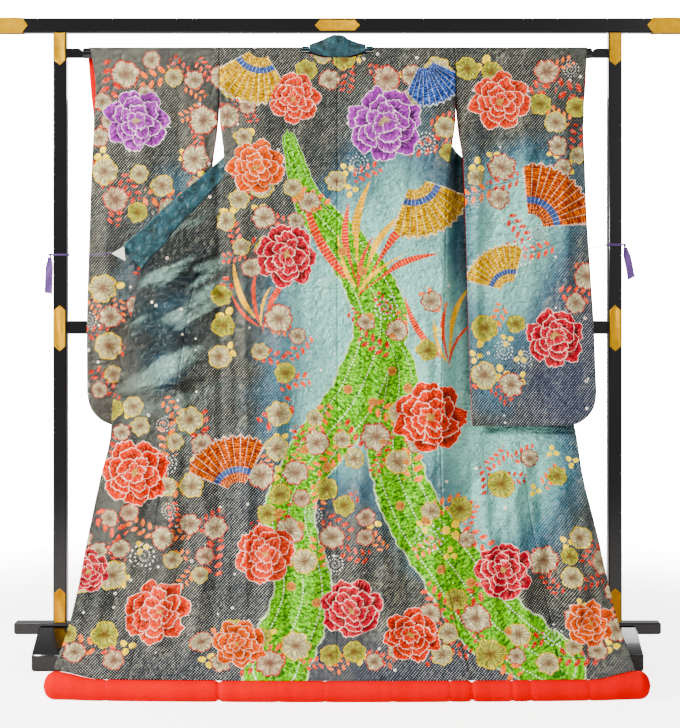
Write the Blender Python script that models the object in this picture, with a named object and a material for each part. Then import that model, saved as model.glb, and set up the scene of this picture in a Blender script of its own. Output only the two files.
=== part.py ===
# Uchikake bridal kimono, hung with its back to the viewer on a lacquered kimono rack.
# Metres, +Z up, the viewer on -Y. The origin is on the floor at the middle of the footprint.
# Depths below are measured from the plane of the rack's posts, and POST_Y puts that plane in the frame.

import math

import bmesh
import bpy
from mathutils import Vector

# Driving dimensions of the cloth
CLOTH = 0.002
SEAM = 0.0003
NECK_HALF = 0.100
NECK_DROP = 0.0135
HEM_REACH = 0.490
HEM_ROLL_RADIUS = 0.026
HEM_LEFT = -0.752
HEM_RIGHT = 0.801
HEM_BEND = 0.024
HEM_BEND_HALF = 0.78
HEM_EDGE = 0.0004
HEM_SWELL = 0.0085
HEM_SWELL_RUN = 0.150
HEM_CLEAR = 0.0012
SIDE_TUCK = 0.006
SIDE_GAP = 0.0007
SLEEVE_CORNER = 0.090
CUFF_FOOT = 1.490
COLLAR = 0.003
COLLAR_FOOT = 1.094
COLLAR_WIDTH_TOP = 0.034
COLLAR_WIDTH_FOOT = 0.080
TAPE = 0.0015

# Driving dimensions of the rack
RAIL_HALF_LENGTH = 1.000
RAIL_DEPTH = 0.042
RAIL_BOTTOM = 1.753
RAIL_TOP = 1.793
POST_X = 0.775
POST_WIDTH = 0.038
BAR_DEPTH = 0.034
BAR_BOTTOM = 0.911
BAR_TOP = 0.947
LOW_RAIL_HALF_LENGTH = 0.903
LOW_RAIL_DEPTH = 0.042
LOW_RAIL_BOTTOM = 0.073
LOW_RAIL_TOP = 0.105
FOOT_HALF_LENGTH = 0.150
FOOT_WIDTH = 0.114
FOOT_TOE = 0.045
FOOT_CREST = 0.095
ROD_RADIUS = 0.0145
ROD_Z = 1.6967
ROD_HALF_LENGTH = 0.712
ROD_SIDES = 12
HOLDER_HEIGHT = 0.026
HOLDER_DEPTH = 0.020
PLATE = 0.0012
PLATE_WIDTH = 0.031
CORD_RADIUS = 0.0014

FOLD_RADIUS = ROD_RADIUS + SEAM + CLOTH
QUARTER = FOLD_RADIUS * math.pi / 2
ARC_ROWS = 3
NECK_COLUMNS = 4
SIDE_COLUMNS = 10
POST_Y = (HEM_REACH - FOOT_HALF_LENGTH) / 2
HEM_Z = 2 * HEM_ROLL_RADIUS + HEM_EDGE

# The body's panels share these heights below the arms, so that their seams meet row by row
SPREAD_TOP = 1.378
SPREAD_ROWS = 22
HEIGHTS = [SPREAD_TOP + (HEM_Z - SPREAD_TOP) * k / SPREAD_ROWS for k in range(SPREAD_ROWS + 1)]
OKUMI_HEIGHTS = {"left": [1.350] + HEIGHTS[1:], "right": HEIGHTS}


def table(names, *rows):
    """A table's columns by name. Its first column, the height or the place along, runs upwards."""
    return {name: [row[i] for row in rows] for i, name in enumerate(names.split())}


def smooth(rows, name, at):
    """The value of a column at a place, on a smooth curve through the rows that never overshoots them."""
    places = next(iter(rows.values()))
    values = rows[name]
    if at <= places[0]:
        return values[0]
    if at >= places[-1]:
        return values[-1]
    k = max(i for i, place in enumerate(places) if place <= at)
    slopes = [(values[i + 1] - values[i]) / (places[i + 1] - places[i]) for i in range(len(places) - 1)]

    def tangent(i):
        if i == 0:
            return slopes[0]
        if i == len(slopes):
            return slopes[-1]
        before, after = slopes[i - 1], slopes[i]
        if before * after <= 0:
            return 0.0
        return 2 * before * after / (before + after)

    step = places[k + 1] - places[k]
    t = (at - places[k]) / step
    start = (1 + 2 * t) * (1 - t) ** 2 * values[k] + t * (1 - t) ** 2 * step * tangent(k)
    end = t * t * (3 - 2 * t) * values[k + 1] + t * t * (t - 1) * step * tangent(k + 1)
    return start + end


def ease(t):
    """0 to 1 with level ends."""
    t = min(1.0, max(0.0, t))
    return t * t * (3 - 2 * t)


# How far each layer hangs from the plane of the posts, by height
HANG = table(
    "z      back    spread   left_near left_far right_near right_far",
    (0.05, -0.470, -0.470, -0.031, -0.0195, -0.140, -0.130),
    (0.12, -0.418, -0.412, -0.031, -0.0195, -0.140, -0.130),
    (0.20, -0.362, -0.345, -0.031, -0.0195, -0.140, -0.130),
    (0.40, -0.258, -0.226, -0.031, -0.0195, -0.140, -0.130),
    (0.65, -0.163, -0.112, -0.031, -0.0195, -0.138, -0.127),
    (0.80, -0.121, -0.062, -0.030, -0.0195, -0.090, -0.078),
    (0.95, -0.088, -0.026, -0.029, -0.0192, -0.054, -0.041),
    (1.13, -0.061, 0.002, -0.027, -0.008, -0.034, -0.014),
    (1.38, -0.039, 0.028, -0.022, 0.009, -0.023, 0.010),
    (1.50, -0.031, 0.032, -0.019, 0.0145, -0.0195, 0.015),
    (1.60, -0.0235, 0.034, -0.0172, 0.0166, -0.0175, 0.0168),
    (1.6967, -0.0168, 0.034, -0.0168, 0.0168, -0.0168, 0.0168),
)

# The edges of the cut pieces as they hang, by height
BACK_EDGE = table(
    "z      left    right",
    (0.05, -0.301, 0.342),
    (0.19, -0.300, 0.305),
    (0.35, -0.295, 0.278),
    (0.60, -0.296, 0.277),
    (1.00, -0.305, 0.294),
    (1.33, -0.312, 0.304),
    (1.43, -0.318, 0.318),
    (1.52, -0.329, 0.329),
    (1.72, -0.329, 0.329),
)
LEFT_SPREAD = table(
    "z      edge    seam",
    (0.05, -0.729, -0.533),
    (0.13, -0.707, -0.520),
    (0.25, -0.683, -0.506),
    (0.38, -0.665, -0.489),
    (0.53, -0.640, -0.472),
    (0.64, -0.617, -0.457),
    (0.74, -0.612, -0.443),
    (0.80, -0.596, -0.435),
    (0.92, -0.577, -0.420),
    (1.02, -0.557, -0.403),
    (1.09, -0.545, -0.386),
    (1.16, -0.488, -0.358),
    (1.23, -0.431, -0.331),
    (1.29, -0.374, -0.312),
    (1.354, -0.316, -0.300),
    (1.384, -0.290, -0.280),
)
RIGHT_SPREAD = table(
    "z      edge    seam",
    (0.05, 0.764, 0.574),
    (0.16, 0.736, 0.560),
    (0.28, 0.713, 0.541),
    (0.42, 0.689, 0.520),
    (0.53, 0.667, 0.508),
    (0.66, 0.651, 0.491),
    (0.80, 0.608, 0.452),
    (0.92, 0.580, 0.428),
    (1.09, 0.545, 0.392),
    (1.16, 0.488, 0.362),
    (1.23, 0.440, 0.338),
    (1.30, 0.396, 0.315),
    (1.345, 0.357, 0.302),
    (1.385, 0.319, 0.303),
    (1.412, 0.294, 0.285),
)
LEFT_SLEEVE = table(
    "z      body    near    far",
    (0.65, -0.352, -0.697, -0.697),
    (0.89, -0.352, -0.699, -0.699),
    (1.18, -0.352, -0.693, -0.693),
    (1.36, -0.351, -0.688, -0.688),
    (1.49, -0.336, -0.682, -0.6835),
    (1.60, -0.3293, -0.6755, -0.694),
    (1.72, -0.3293, -0.693, -0.703),
)
RIGHT_SLEEVE = table(
    "z      body    near    far",
    (0.65, 0.367, 0.711, 0.711),
    (0.90, 0.363, 0.711, 0.711),
    (1.08, 0.360, 0.704, 0.704),
    (1.25, 0.356, 0.695, 0.695),
    (1.40, 0.350, 0.691, 0.691),
    (1.49, 0.337, 0.687, 0.6885),
    (1.60, 0.3293, 0.689, 0.696),
    (1.72, 0.3293, 0.699, 0.702),
)

SLEEVES = {"left": LEFT_SLEEVE, "right": RIGHT_SLEEVE}
SLEEVE_SHARES = (0.0, 0.14, 0.28, 0.42, 0.56, 0.70, 0.82, 0.91, 0.97, 1.0)
CUFF_HEIGHTS = [CUFF_FOOT + (ROD_Z - CUFF_FOOT) * t for t in (0.0, 0.35, 0.7)]

# The largest folds of the body: a ridge (or a trough, where depth is negative) from its head to its foot
FOLD_NAMES = "head_x head_z foot_x foot_z width depth"
FOLDS = [
    dict(zip(FOLD_NAMES.split(), row))
    for row in (
        (-0.262, 1.36, -0.240, 0.22, 0.022, 0.007),
        (-0.150, 1.02, -0.185, 0.10, 0.040, 0.011),
        (-0.040, 0.74, -0.075, 0.08, 0.034, 0.009),
        (0.070, 0.98, 0.050, 0.09, 0.042, 0.011),
        (0.165, 1.22, 0.190, 0.09, 0.036, -0.009),
        (0.240, 1.10, 0.262, 0.12, 0.024, 0.007),
        (-0.545, 1.085, -0.320, 1.030, 0.014, 0.009),
        (-0.500, 1.030, -0.330, 0.990, 0.012, 0.006),
        (-0.470, 0.940, -0.345, 0.420, 0.030, 0.009),
        (-0.585, 0.805, -0.400, 0.775, 0.012, 0.006),
        (-0.430, 0.600, -0.465, 0.090, 0.036, 0.012),
        (-0.560, 0.560, -0.640, 0.100, 0.034, 0.010),
        (-0.340, 0.480, -0.375, 0.085, 0.028, 0.009),
        (0.385, 0.600, 0.420, 0.085, 0.030, 0.012),
        (0.470, 0.580, 0.500, 0.085, 0.034, 0.013),
        (0.590, 0.570, 0.640, 0.090, 0.034, 0.011),
        (0.650, 0.480, 0.715, 0.100, 0.024, 0.008),
    )
]

# Pinches along the hem roll, by place
PINCHES = ((-0.590, 0.05), (-0.301, 0.16), (-0.150, 0.04), (-0.032, 0.05), (0.140, 0.04), (0.286, 0.06))
PINCHES += ((0.342, 0.17), (0.444, 0.07), (0.491, 0.06), (0.640, 0.05))


def finish(name, mesh, colour, roughness, metallic=0.0, smooth_angle=None):
    """Makes the named object of a mesh and gives it its own material."""
    work = bmesh.new()
    work.from_mesh(mesh)
    bmesh.ops.recalc_face_normals(work, faces=work.faces)
    work.to_mesh(mesh)
    work.free()
    thing = bpy.data.objects.new(name, mesh)
    bpy.context.scene.collection.objects.link(thing)
    material = bpy.data.materials.new(name)
    material.use_nodes = True
    shader = material.node_tree.nodes["Principled BSDF"]
    shader.inputs["Base Color"].default_value = (*colour, 1.0)
    shader.inputs["Roughness"].default_value = roughness
    shader.inputs["Metallic"].default_value = metallic
    mesh.materials.append(material)
    if smooth_angle:
        mesh.shade_smooth()
        mesh.set_sharp_from_angle(angle=math.radians(smooth_angle))
    thing.location.y = POST_Y
    return thing


def mesh_of(name, points, faces):
    mesh = bpy.data.meshes.new(name)
    mesh.from_pydata([tuple(point) for point in points], [], faces)
    mesh.update()
    return mesh


def wall(name, outer, inner, cut=lambda row, column: False):
    """A closed wall between two grids of points, with a rim all round and where cells are cut."""
    rows, columns = len(outer), len(outer[0])
    cells = {(r, c) for r in range(rows - 1) for c in range(columns - 1) if not cut(r, c)}
    numbers, points, faces = {}, [], []

    def index(side, row, column):
        key = (side, row, column)
        if key not in numbers:
            numbers[key] = len(points)
            points.append((outer, inner)[side][row][column])
        return numbers[key]

    for r, c in sorted(cells):
        corners = ((r, c), (r, c + 1), (r + 1, c + 1), (r + 1, c))
        faces.append([index(0, *corner) for corner in corners])
        faces.append([index(1, *corner) for corner in reversed(corners)])
        beside = ((r - 1, c), (r, c + 1), (r + 1, c), (r, c - 1))
        for k, neighbour in enumerate(beside):
            if neighbour not in cells:
                here, after = corners[k], corners[(k + 1) % 4]
                faces.append([index(0, *here), index(1, *here), index(1, *after), index(0, *after)])
    return mesh_of(name, points, faces)


def ribbon(name, first, second, side, thickness):
    """A wall along two edge lines, thickened towards the side that it is on at its first row."""
    outer = [list(pair) for pair in zip(first, second)]
    inner = []
    for k, pair in enumerate(outer):
        ahead = outer[min(k + 1, len(outer) - 1)]
        behind = outer[max(k - 1, 0)]
        along = (ahead[0] + ahead[1]) - (behind[0] + behind[1])
        normal = along.cross(pair[1] - pair[0]).normalized()
        if normal.dot(side) < 0:
            normal = -normal
        side = normal
        inner.append([point + normal * thickness for point in pair])
    return wall(name, outer, inner)


def prism(name, outline, low, high, axis):
    """An outline pushed along an axis, from low to high. The axis is 0, 1 or 2."""
    def place(point, along):
        values = list(point)
        values.insert(axis, along)
        return values

    count = len(outline)
    points = [place(point, low) for point in outline] + [place(point, high) for point in outline]
    faces = [list(range(count)), list(range(2 * count - 1, count - 1, -1))]
    faces += [[k, (k + 1) % count, count + (k + 1) % count, count + k] for k in range(count)]
    return mesh_of(name, points, faces)


def beam(name, low, high, bevel):
    """A planed bar between two corners, with its edges broken by a small bevel."""
    work = bmesh.new()
    bmesh.ops.create_cube(work, size=1.0)
    for vertex in work.verts:
        for axis in range(3):
            vertex.co[axis] = low[axis] if vertex.co[axis] < 0 else high[axis]
    bmesh.ops.bevel(work, geom=list(work.edges), offset=bevel, segments=1, affect="EDGES")
    mesh = bpy.data.meshes.new(name)
    work.to_mesh(mesh)
    work.free()
    return mesh


def band_faces(here, after, sides):
    """The faces between two rings of points that start at the given numbers."""
    return [[here + s, here + (s + 1) % sides, after + (s + 1) % sides, after + s] for s in range(sides)]


def tube(name, path, radius, sides, closed=False):
    """A tube along a path, with flat ends, or joined to itself where it is closed."""
    count = len(path)
    rings = []
    for k, point in enumerate(path):
        ahead = path[(k + 1) % count] if closed else path[min(k + 1, count - 1)]
        behind = path[k - 1] if closed else path[max(k - 1, 0)]
        along = (ahead - behind).normalized()
        level = along.cross(Vector((0, 0, 1)))
        across = level.normalized() if level.length > 1e-4 else Vector((1, 0, 0))
        up = across.cross(along)
        turn = [2 * math.pi * s / sides for s in range(sides)]
        rings.append([point + (across * math.cos(a) + up * math.sin(a)) * radius for a in turn])
    points = [point for ring in rings for point in ring]
    faces = []
    for k in range(count if closed else count - 1):
        faces += band_faces(k * sides, ((k + 1) % count) * sides, sides)
    if not closed:
        faces += [list(range(sides)), list(range((count - 1) * sides, count * sides))]
    return mesh_of(name, points, faces)


# The shape of the hanging cloth

def fold_depth(x, z):
    """How far the folds of the body stand out towards the viewer at a place."""
    out = 0.0
    for fold in FOLDS:
        run_x = fold["foot_x"] - fold["head_x"]
        run_z = fold["foot_z"] - fold["head_z"]
        length = math.hypot(run_x, run_z)
        along = ((x - fold["head_x"]) * run_x + (z - fold["head_z"]) * run_z) / length
        aside = ((x - fold["head_x"]) * run_z - (z - fold["head_z"]) * run_x) / length
        ends = ease(along / (0.3 * length)) * ease((length - along) / (0.12 * length))
        out += fold["depth"] * ends * math.exp(-((aside / fold["width"]) ** 2))
    return out


def hem_curve(x):
    """How far the hem line lies back of its middle."""
    return HEM_BEND * (x / HEM_BEND_HALF) ** 2


def hem_swell(x):
    """How much thicker the hem roll's radius is at a place: it swells into each corner of the hem."""
    inside = min(x - HEM_LEFT, HEM_RIGHT - x)
    return HEM_SWELL * ease((HEM_SWELL_RUN - inside) / (HEM_SWELL_RUN - HEM_ROLL_RADIUS))


def over_hem(x, z):
    """A height near the hem, lifted to clear the roll where that swells."""
    lift = hem_swell(x)
    return z + (2 * lift + HEM_CLEAR * math.sqrt(lift / HEM_SWELL)) * ease((0.20 - z) / 0.15)


def back_depth(x, z):
    bend = hem_curve(x) * ease((1.1 - z) / 1.05)
    return smooth(HANG, "back", z) + bend - fold_depth(x, z)


def slope_at(depth, x, z):
    """How fast a layer comes back with height. At the hem the wall's foot is cut level."""
    if z < HEM_Z + SEAM:
        return 0.0
    step = 0.004
    return (depth(x, z + step) - depth(x, z - step)) / (2 * step)


def behind_back(x, z):
    """Just behind the back panels, where a side seam joins them."""
    slope = slope_at(back_depth, x, z)
    return back_depth(x, z) + (CLOTH + SIDE_GAP) * math.hypot(1, slope)


def left_depth(x, z):
    """The left front, spread out over the sleeve: it dips beside the back panel, where it turns forward."""
    edge = smooth(BACK_EDGE, "left", z)
    dip = 0.007 * math.exp(-(((x - edge + 0.020) / 0.013) ** 2)) * ease((z - 0.10) / 0.2)
    return behind_back(x, z) + dip


def right_depth(x, z):
    """The right front: from its seam it turns back behind the sleeve, and spreads out there."""
    seam = smooth(BACK_EDGE, "right", z) - SIDE_TUCK
    turn = ease((x - seam - 0.008) / max(0.02, 0.338 - seam - 0.008))
    turn += (1 - turn) * ease((0.34 - z) / 0.25) * ease((x - seam) / 0.05)
    bend = hem_curve(x) * ease((1.1 - z) / 1.05)
    far = smooth(HANG, "spread", z) + bend - fold_depth(x, z)
    return behind_back(x, z) * (1 - turn) + far * turn


def over_rod(run, depth, x, side):
    """A point and its outward normal, at a run from the rod's top down its near (-1) or far (+1) side."""
    if run < QUARTER:
        angle = run / FOLD_RADIUS
        normal = Vector((0, side * math.sin(angle), math.cos(angle)))
        return Vector((x, 0, ROD_Z)) + normal * FOLD_RADIUS, normal
    z = ROD_Z - (run - QUARTER)
    normal = Vector((0, side, -side * slope_at(depth, x, z))).normalized()
    return Vector((x, depth(x, z), z)), normal


def sheet(name, rows, thickness=CLOTH, cut=lambda row, column: False):
    """A wall of cloth from rows of (point, outward normal)."""
    outer = [[point for point, normal in row] for row in rows]
    inner = [[point - normal * thickness for point, normal in row] for row in rows]
    return wall(name, outer, inner, cut)


def hanging(depth, x, z, level=False):
    """A point of a hanging layer and its outward normal, which is level where the wall's foot is cut."""
    slope = 0.0 if level else slope_at(depth, x, z)
    return Vector((x, depth(x, z), z)), Vector((0, -1, slope)).normalized()


def back_panel(name, edge_name, runs):
    """One back panel, from its neckline and the rod's top down to the hem roll."""
    toward = 1 if edge_name == "right" else -1
    rows = []
    for base in runs:
        edge = abs(smooth(BACK_EDGE, edge_name, ROD_Z - max(0.0, base - QUARTER)))
        places = [SEAM / 2 + (NECK_HALF - SEAM / 2) * k / NECK_COLUMNS for k in range(NECK_COLUMNS)]
        places += [NECK_HALF + (edge - NECK_HALF) * k / SIDE_COLUMNS for k in range(SIDE_COLUMNS + 1)]
        row = []
        for x in places:
            dip = NECK_DROP * ease(1.4 * (1 - x / NECK_HALF)) * max(0.0, 1 - max(0.0, base - QUARTER) / 0.2)
            row.append(over_rod(SEAM / 2 + base + dip, back_depth, toward * x, -1))
        rows.append(row)
    return sheet(name, rows, cut=lambda row, column: row < ARC_ROWS and column < NECK_COLUMNS)


def spread_panel(name, heights, left_of, right_of, depth, columns):
    """A panel cut between two edges, row by row."""
    rows = []
    for z in heights:
        low, high = left_of(z), right_of(z)
        places = [low + (high - low) * c / columns for c in range(columns + 1)]
        rows.append([hanging(depth, x, over_hem(x, z), z == heights[-1]) for x in places])
    return sheet(name, rows)


def sleeve_place(side, layer, share, z):
    """Where the near or far layer of a sleeve hangs, at a share of the way from the body to the cuff."""
    edges = SLEEVES[side]
    body = smooth(edges, "body", z)
    x = body + (smooth(edges, layer, z) - body) * share
    near, far = smooth(HANG, f"{side}_near", z), smooth(HANG, f"{side}_far", z)
    middle, half = (near + far) / 2, (far - near) / 2
    sewn = ease((share - 0.80) / 0.20) * ease((CUFF_FOOT + 0.03 - z) / 0.04)
    half = half + (CLOTH + SEAM - half) * sewn
    return Vector((x, middle + (half if layer == "far" else -half), z))


def sleeve(name, side, foot, heights):
    """A sleeve: one length over the rod, closed along its foot and its outer edge up to the cuff opening."""
    edges = SLEEVES[side]
    arc = [k * math.pi / 6 for k in range(7)]
    outer, inner = [], []
    for share in SLEEVE_SHARES:
        width = abs(edges["near"][0] - edges["body"][0])
        into = max(0.0, SLEEVE_CORNER - (1 - share) * width)
        bottom = foot + SLEEVE_CORNER - math.sqrt(SLEEVE_CORNER**2 - into**2)

        def layer(name, z, outward):
            step = sleeve_place(side, name, share, z + 0.004) - sleeve_place(side, name, share, z - 0.004)
            normal = Vector((0, outward, -outward * step.y / step.z)).normalized()
            return sleeve_place(side, name, share, z), normal

        low = [bottom + (CUFF_FOOT - bottom) * t for t in heights]
        near = [layer("near", z, -1) for z in low + CUFF_HEIGHTS[1:]]
        far = [layer("far", z, 1) for z in low + CUFF_HEIGHTS[1:]]
        top = []
        body = smooth(edges, "body", ROD_Z)
        for angle in arc:
            normal = Vector((0, -math.cos(angle), math.sin(angle)))
            over = angle / math.pi
            edge = smooth(edges, "near", ROD_Z) * (1 - over) + smooth(edges, "far", ROD_Z) * over
            top.append((Vector((body + (edge - body) * share, 0, ROD_Z)) + normal * FOLD_RADIUS, normal))
        under = (near[0][0] + far[0][0]) / 2 - Vector((0, 0, 0.003))
        ring = [(under, Vector((0, 0, -1)))] + near + top + far[::-1]
        outer.append([point for point, normal in ring])
        inner.append([point - normal * CLOTH for point, normal in ring])
    return bag(name, outer, inner, closed=len(heights))


def bag(name, outer, inner, closed):
    """A flat tube of rings with a wall, open at its first ring. Its last ring is sewn shut to one place."""
    count, size = len(outer), len(outer[0])
    points = [point for grid in (outer, inner) for ring in grid for point in ring]

    def index(side, ring, place):
        return (side * count + ring) * size + place % size

    faces = []
    for r in range(count - 1):
        for k in range(size):
            for side in (0, 1):
                faces.append([index(side, r, k), index(side, r, k + 1), index(side, r + 1, k + 1),
                              index(side, r + 1, k)])
    faces += [[index(0, 0, k), index(0, 0, k + 1), index(1, 0, k + 1), index(1, 0, k)] for k in range(size)]
    last = count - 1
    for side in (0, 1):
        faces.append([index(side, last, 0), index(side, last, 1), index(side, last, size - 1)])
        for k in range(1, closed):
            faces.append([index(side, last, k), index(side, last, k + 1), index(side, last, size - k - 1),
                          index(side, last, size - k)])
    faces.append([index(0, last, closed), index(1, last, closed), index(1, last, size - closed),
                  index(0, last, size - closed)])
    for k in range(closed, size - closed):
        faces.append([index(0, last, k), index(0, last, k + 1), index(1, last, k + 1), index(1, last, k)])
    return mesh_of(name, points, faces)


# The stretch of collar behind the back panel, by height: its seam, its free edge and how far that hangs lower
COLLAR_RUN = table(
    "z      seam   free   drop",
    (1.395, 0.3060, 0.2800, 0.028),
    (1.440, 0.2900, 0.2580, 0.028),
    (1.500, 0.2480, 0.2150, 0.030),
    (1.570, 0.1960, 0.1620, 0.030),
    (1.640, 0.1440, 0.1120, 0.026),
    (1.6967, 0.1080, 0.0860, 0.014),
)
# How the collar crosses the rod inside the neck opening, by its turn from the top, from behind to in front
COLLAR_CROSSING = table(
    "degrees seam    free",
    (60, 0.1040, 0.0840),
    (30, 0.1000, 0.0810),
    (0, 0.0994, 0.0792),
    (-30, 0.0994, 0.0792),
    (-60, 0.0994, 0.0792),
)
COLLAR_DEPTH = {
    "left": table("z y", (1.38, -0.026), (1.43, -0.010), (1.50, 0.008), (1.60, 0.0170), (1.70, 0.0168)),
    "right": table("z y", (1.38, 0.024), (1.43, 0.0225), (1.50, 0.0195), (1.60, 0.0172), (1.70, 0.0168)),
}
SHOULDER_FOOT = table("z edge", (1.43, 0.3215), (1.52, 0.329), (1.72, 0.329))


def shoulder(name, side, falls):
    """The top of a front, hanging behind the rod from the shoulder line down to its collar seam."""
    toward = 1 if side == "right" else -1
    rows = []
    for run in falls:
        z = ROD_Z - max(0.0, run - QUARTER)
        edge = smooth(SHOULDER_FOOT, "edge", z)
        low = smooth(COLLAR_RUN, "seam", z) + 2 * SEAM

        def depth(x, height):
            collar = smooth(COLLAR_DEPTH[side], "y", min(height, ROD_Z))
            outer_edge = smooth(HANG, f"{side}_far", height)
            across = min(1.0, max(0.0, (edge - abs(x)) / (edge - low)))
            return outer_edge + (collar - outer_edge) * across

        places = [edge + (low - edge) * c / 5 for c in range(6)]
        rows.append([over_rod(SEAM / 2 + run, depth, toward * x, 1) for x in places])
    return sheet(name, rows)


CLOTH_COLOUR = (0.10, 0.20, 0.22)
PALE_COLOUR = (0.42, 0.58, 0.55)
RED = (0.75, 0.03, 0.02)
LACQUER = (0.012, 0.010, 0.012)
GOLD = (0.85, 0.60, 0.16)
PURPLE = (0.14, 0.07, 0.20)
WHITE = (0.85, 0.82, 0.76)


def build_rack():
    half = POST_WIDTH / 2
    post_top = RAIL_BOTTOM - SEAM
    side = RAIL_DEPTH / 2
    rail = beam("top_rail", (-RAIL_HALF_LENGTH + PLATE, -side, RAIL_BOTTOM),
                (RAIL_HALF_LENGTH - PLATE, side, RAIL_TOP), 0.003)
    finish("top_rail", rail, LACQUER, 0.12)
    side = BAR_DEPTH / 2
    reach = POST_X - half - SEAM
    bar = beam("mid_bar", (-reach, -side, BAR_BOTTOM), (reach, side, BAR_TOP), 0.003)
    finish("mid_bar", bar, LACQUER, 0.12)
    side = LOW_RAIL_DEPTH / 2
    low = beam("bottom_rail", (-LOW_RAIL_HALF_LENGTH, -side, LOW_RAIL_BOTTOM),
               (LOW_RAIL_HALF_LENGTH, side, LOW_RAIL_TOP), 0.004)
    finish("bottom_rail", low, LACQUER, 0.12)
    turn = [2 * math.pi * k / ROD_SIDES for k in range(ROD_SIDES)]
    circle = [(ROD_RADIUS * math.cos(a), ROD_Z + ROD_RADIUS * math.sin(a)) for a in turn]
    rod = prism("rod", circle, -ROD_HALF_LENGTH, ROD_HALF_LENGTH, 0)
    finish("rod", rod, LACQUER, 0.25, smooth_angle=40)
    for name, toward in (("left", -1), ("right", 1)):
        x = toward * POST_X
        post = beam(f"post_{name}", (x - half, -half, LOW_RAIL_TOP + SEAM), (x + half, half, post_top), 0.003)
        finish(f"post_{name}", post, LACQUER, 0.12)
        notch = LOW_RAIL_DEPTH / 2 + SEAM
        seat = LOW_RAIL_BOTTOM - SEAM
        toe = FOOT_HALF_LENGTH
        outline = [(-toe, 0), (-toe, FOOT_TOE - 0.006), (-toe + 0.006, FOOT_TOE), (-notch, FOOT_CREST),
                   (-notch, seat), (notch, seat), (notch, FOOT_CREST), (toe - 0.006, FOOT_TOE),
                   (toe, FOOT_TOE - 0.006), (toe, 0)]
        foot = prism(f"foot_{name}", outline, x - FOOT_WIDTH / 2, x + FOOT_WIDTH / 2, 0)
        finish(f"foot_{name}", foot, LACQUER, 0.15)
        build_holder(name, toward)


def build_holder(name, toward):
    """The bracket on a post's inner side that holds the rod's end, with a rounded nose."""
    start = POST_X - POST_WIDTH / 2 - SEAM
    end = ROD_HALF_LENGTH + SEAM
    low, high = ROD_Z - HOLDER_HEIGHT / 2, ROD_Z + HOLDER_HEIGHT / 2
    nose = 0.014
    outline = [(start, low), (start, high)]
    for k in range(5):
        angle = math.pi / 8 * k
        outline.append((end + nose - nose * math.sin(angle), high - nose + nose * math.cos(angle)))
    outline.append((end, low))
    outline = [(toward * x, z) for x, z in outline]
    holder = prism(f"rod_holder_{name}", outline, -HOLDER_DEPTH / 2, HOLDER_DEPTH / 2, 1)
    finish(f"rod_holder_{name}", holder, LACQUER, 0.3)


def plate_outline(along_low, along_high, half, low_point, high_point):
    """A long plate's outline, each end square or brought to a point."""
    outline = [(along_low + low_point, half), (along_high - high_point, half)]
    outline += [(along_high, 0)] if high_point else []
    outline += [(along_high - high_point, -half), (along_low + low_point, -half)]
    outline += [(along_low, 0)] if low_point else []
    return outline


def build_fittings():
    """Gilt plates on the rack's front faces, and the caps on the rail's ends."""
    face = -POST_WIDTH / 2 - SEAM
    half = PLATE_WIDTH / 2
    point = 0.014
    plates = table(
        "low    high   low_point high_point name",
        (0.1062, 0.202, 0.0, point, "foot"),
        (0.863, 0.992, point, point, "mid"),
        (1.661, 1.752, point, 0.0, "top"),
    )
    for low, high, low_point, high_point, name in zip(*plates.values()):
        for side, toward in (("left", -1), ("right", 1)):
            outline = plate_outline(low, high, half, low_point, high_point)
            outline = [(toward * POST_X + across, along) for along, across in outline]
            label = f"post_fitting_{name}_{side}"
            finish(label, prism(label, outline, face - PLATE, face, 1), GOLD, 0.3, 1.0)
    face = -RAIL_DEPTH / 2 - SEAM
    middle = (RAIL_BOTTOM + RAIL_TOP) / 2
    outline = plate_outline(-0.063, 0.063, 0.015, point, point)
    outline = [(along, middle + across) for along, across in outline]
    label = "rail_fitting_centre"
    finish(label, prism(label, outline, face - PLATE, face, 1), GOLD, 0.3, 1.0)
    for side, toward in (("left", -1), ("right", 1)):
        build_rail_cap(f"rail_cap_{side}", toward)


def build_rail_cap(name, toward):
    """A gilt sleeve over a rail end: closed at the end, its mouth pointed on the front and the back."""
    start = 0.880
    end = RAIL_HALF_LENGTH
    side = RAIL_DEPTH / 2 + SEAM
    low, high = RAIL_BOTTOM - SEAM, RAIL_TOP + SEAM
    middle = (low + high) / 2
    inside = [(-side, low), (-side, middle), (-side, high), (side, high), (side, middle), (side, low)]
    outside = [(y + math.copysign(PLATE, y), z + (PLATE if z > middle else -PLATE if z < middle else 0))
               for y, z in inside]
    mouth = [start, start - 0.016, start, start, start - 0.016, start]
    points = [(toward * x, y, z) for x, (y, z) in zip(mouth, outside)]
    points += [(toward * end, y, z) for y, z in outside]
    points += [(toward * x, y, z) for x, (y, z) in zip(mouth, inside)]
    points += [(toward * (end - PLATE + SEAM), y, z) for y, z in inside]
    faces = []
    for k in range(6):
        after = (k + 1) % 6
        faces.append([k, after, 6 + after, 6 + k])
        faces.append([12 + k, 18 + k, 18 + after, 12 + after])
        faces.append([k, 12 + k, 12 + after, after])
    faces.append([6, 7, 8, 9, 10, 11])
    faces.append([18, 19, 20, 21, 22, 23])
    finish(name, mesh_of(name, points, faces), GOLD, 0.3, 1.0)


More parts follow.
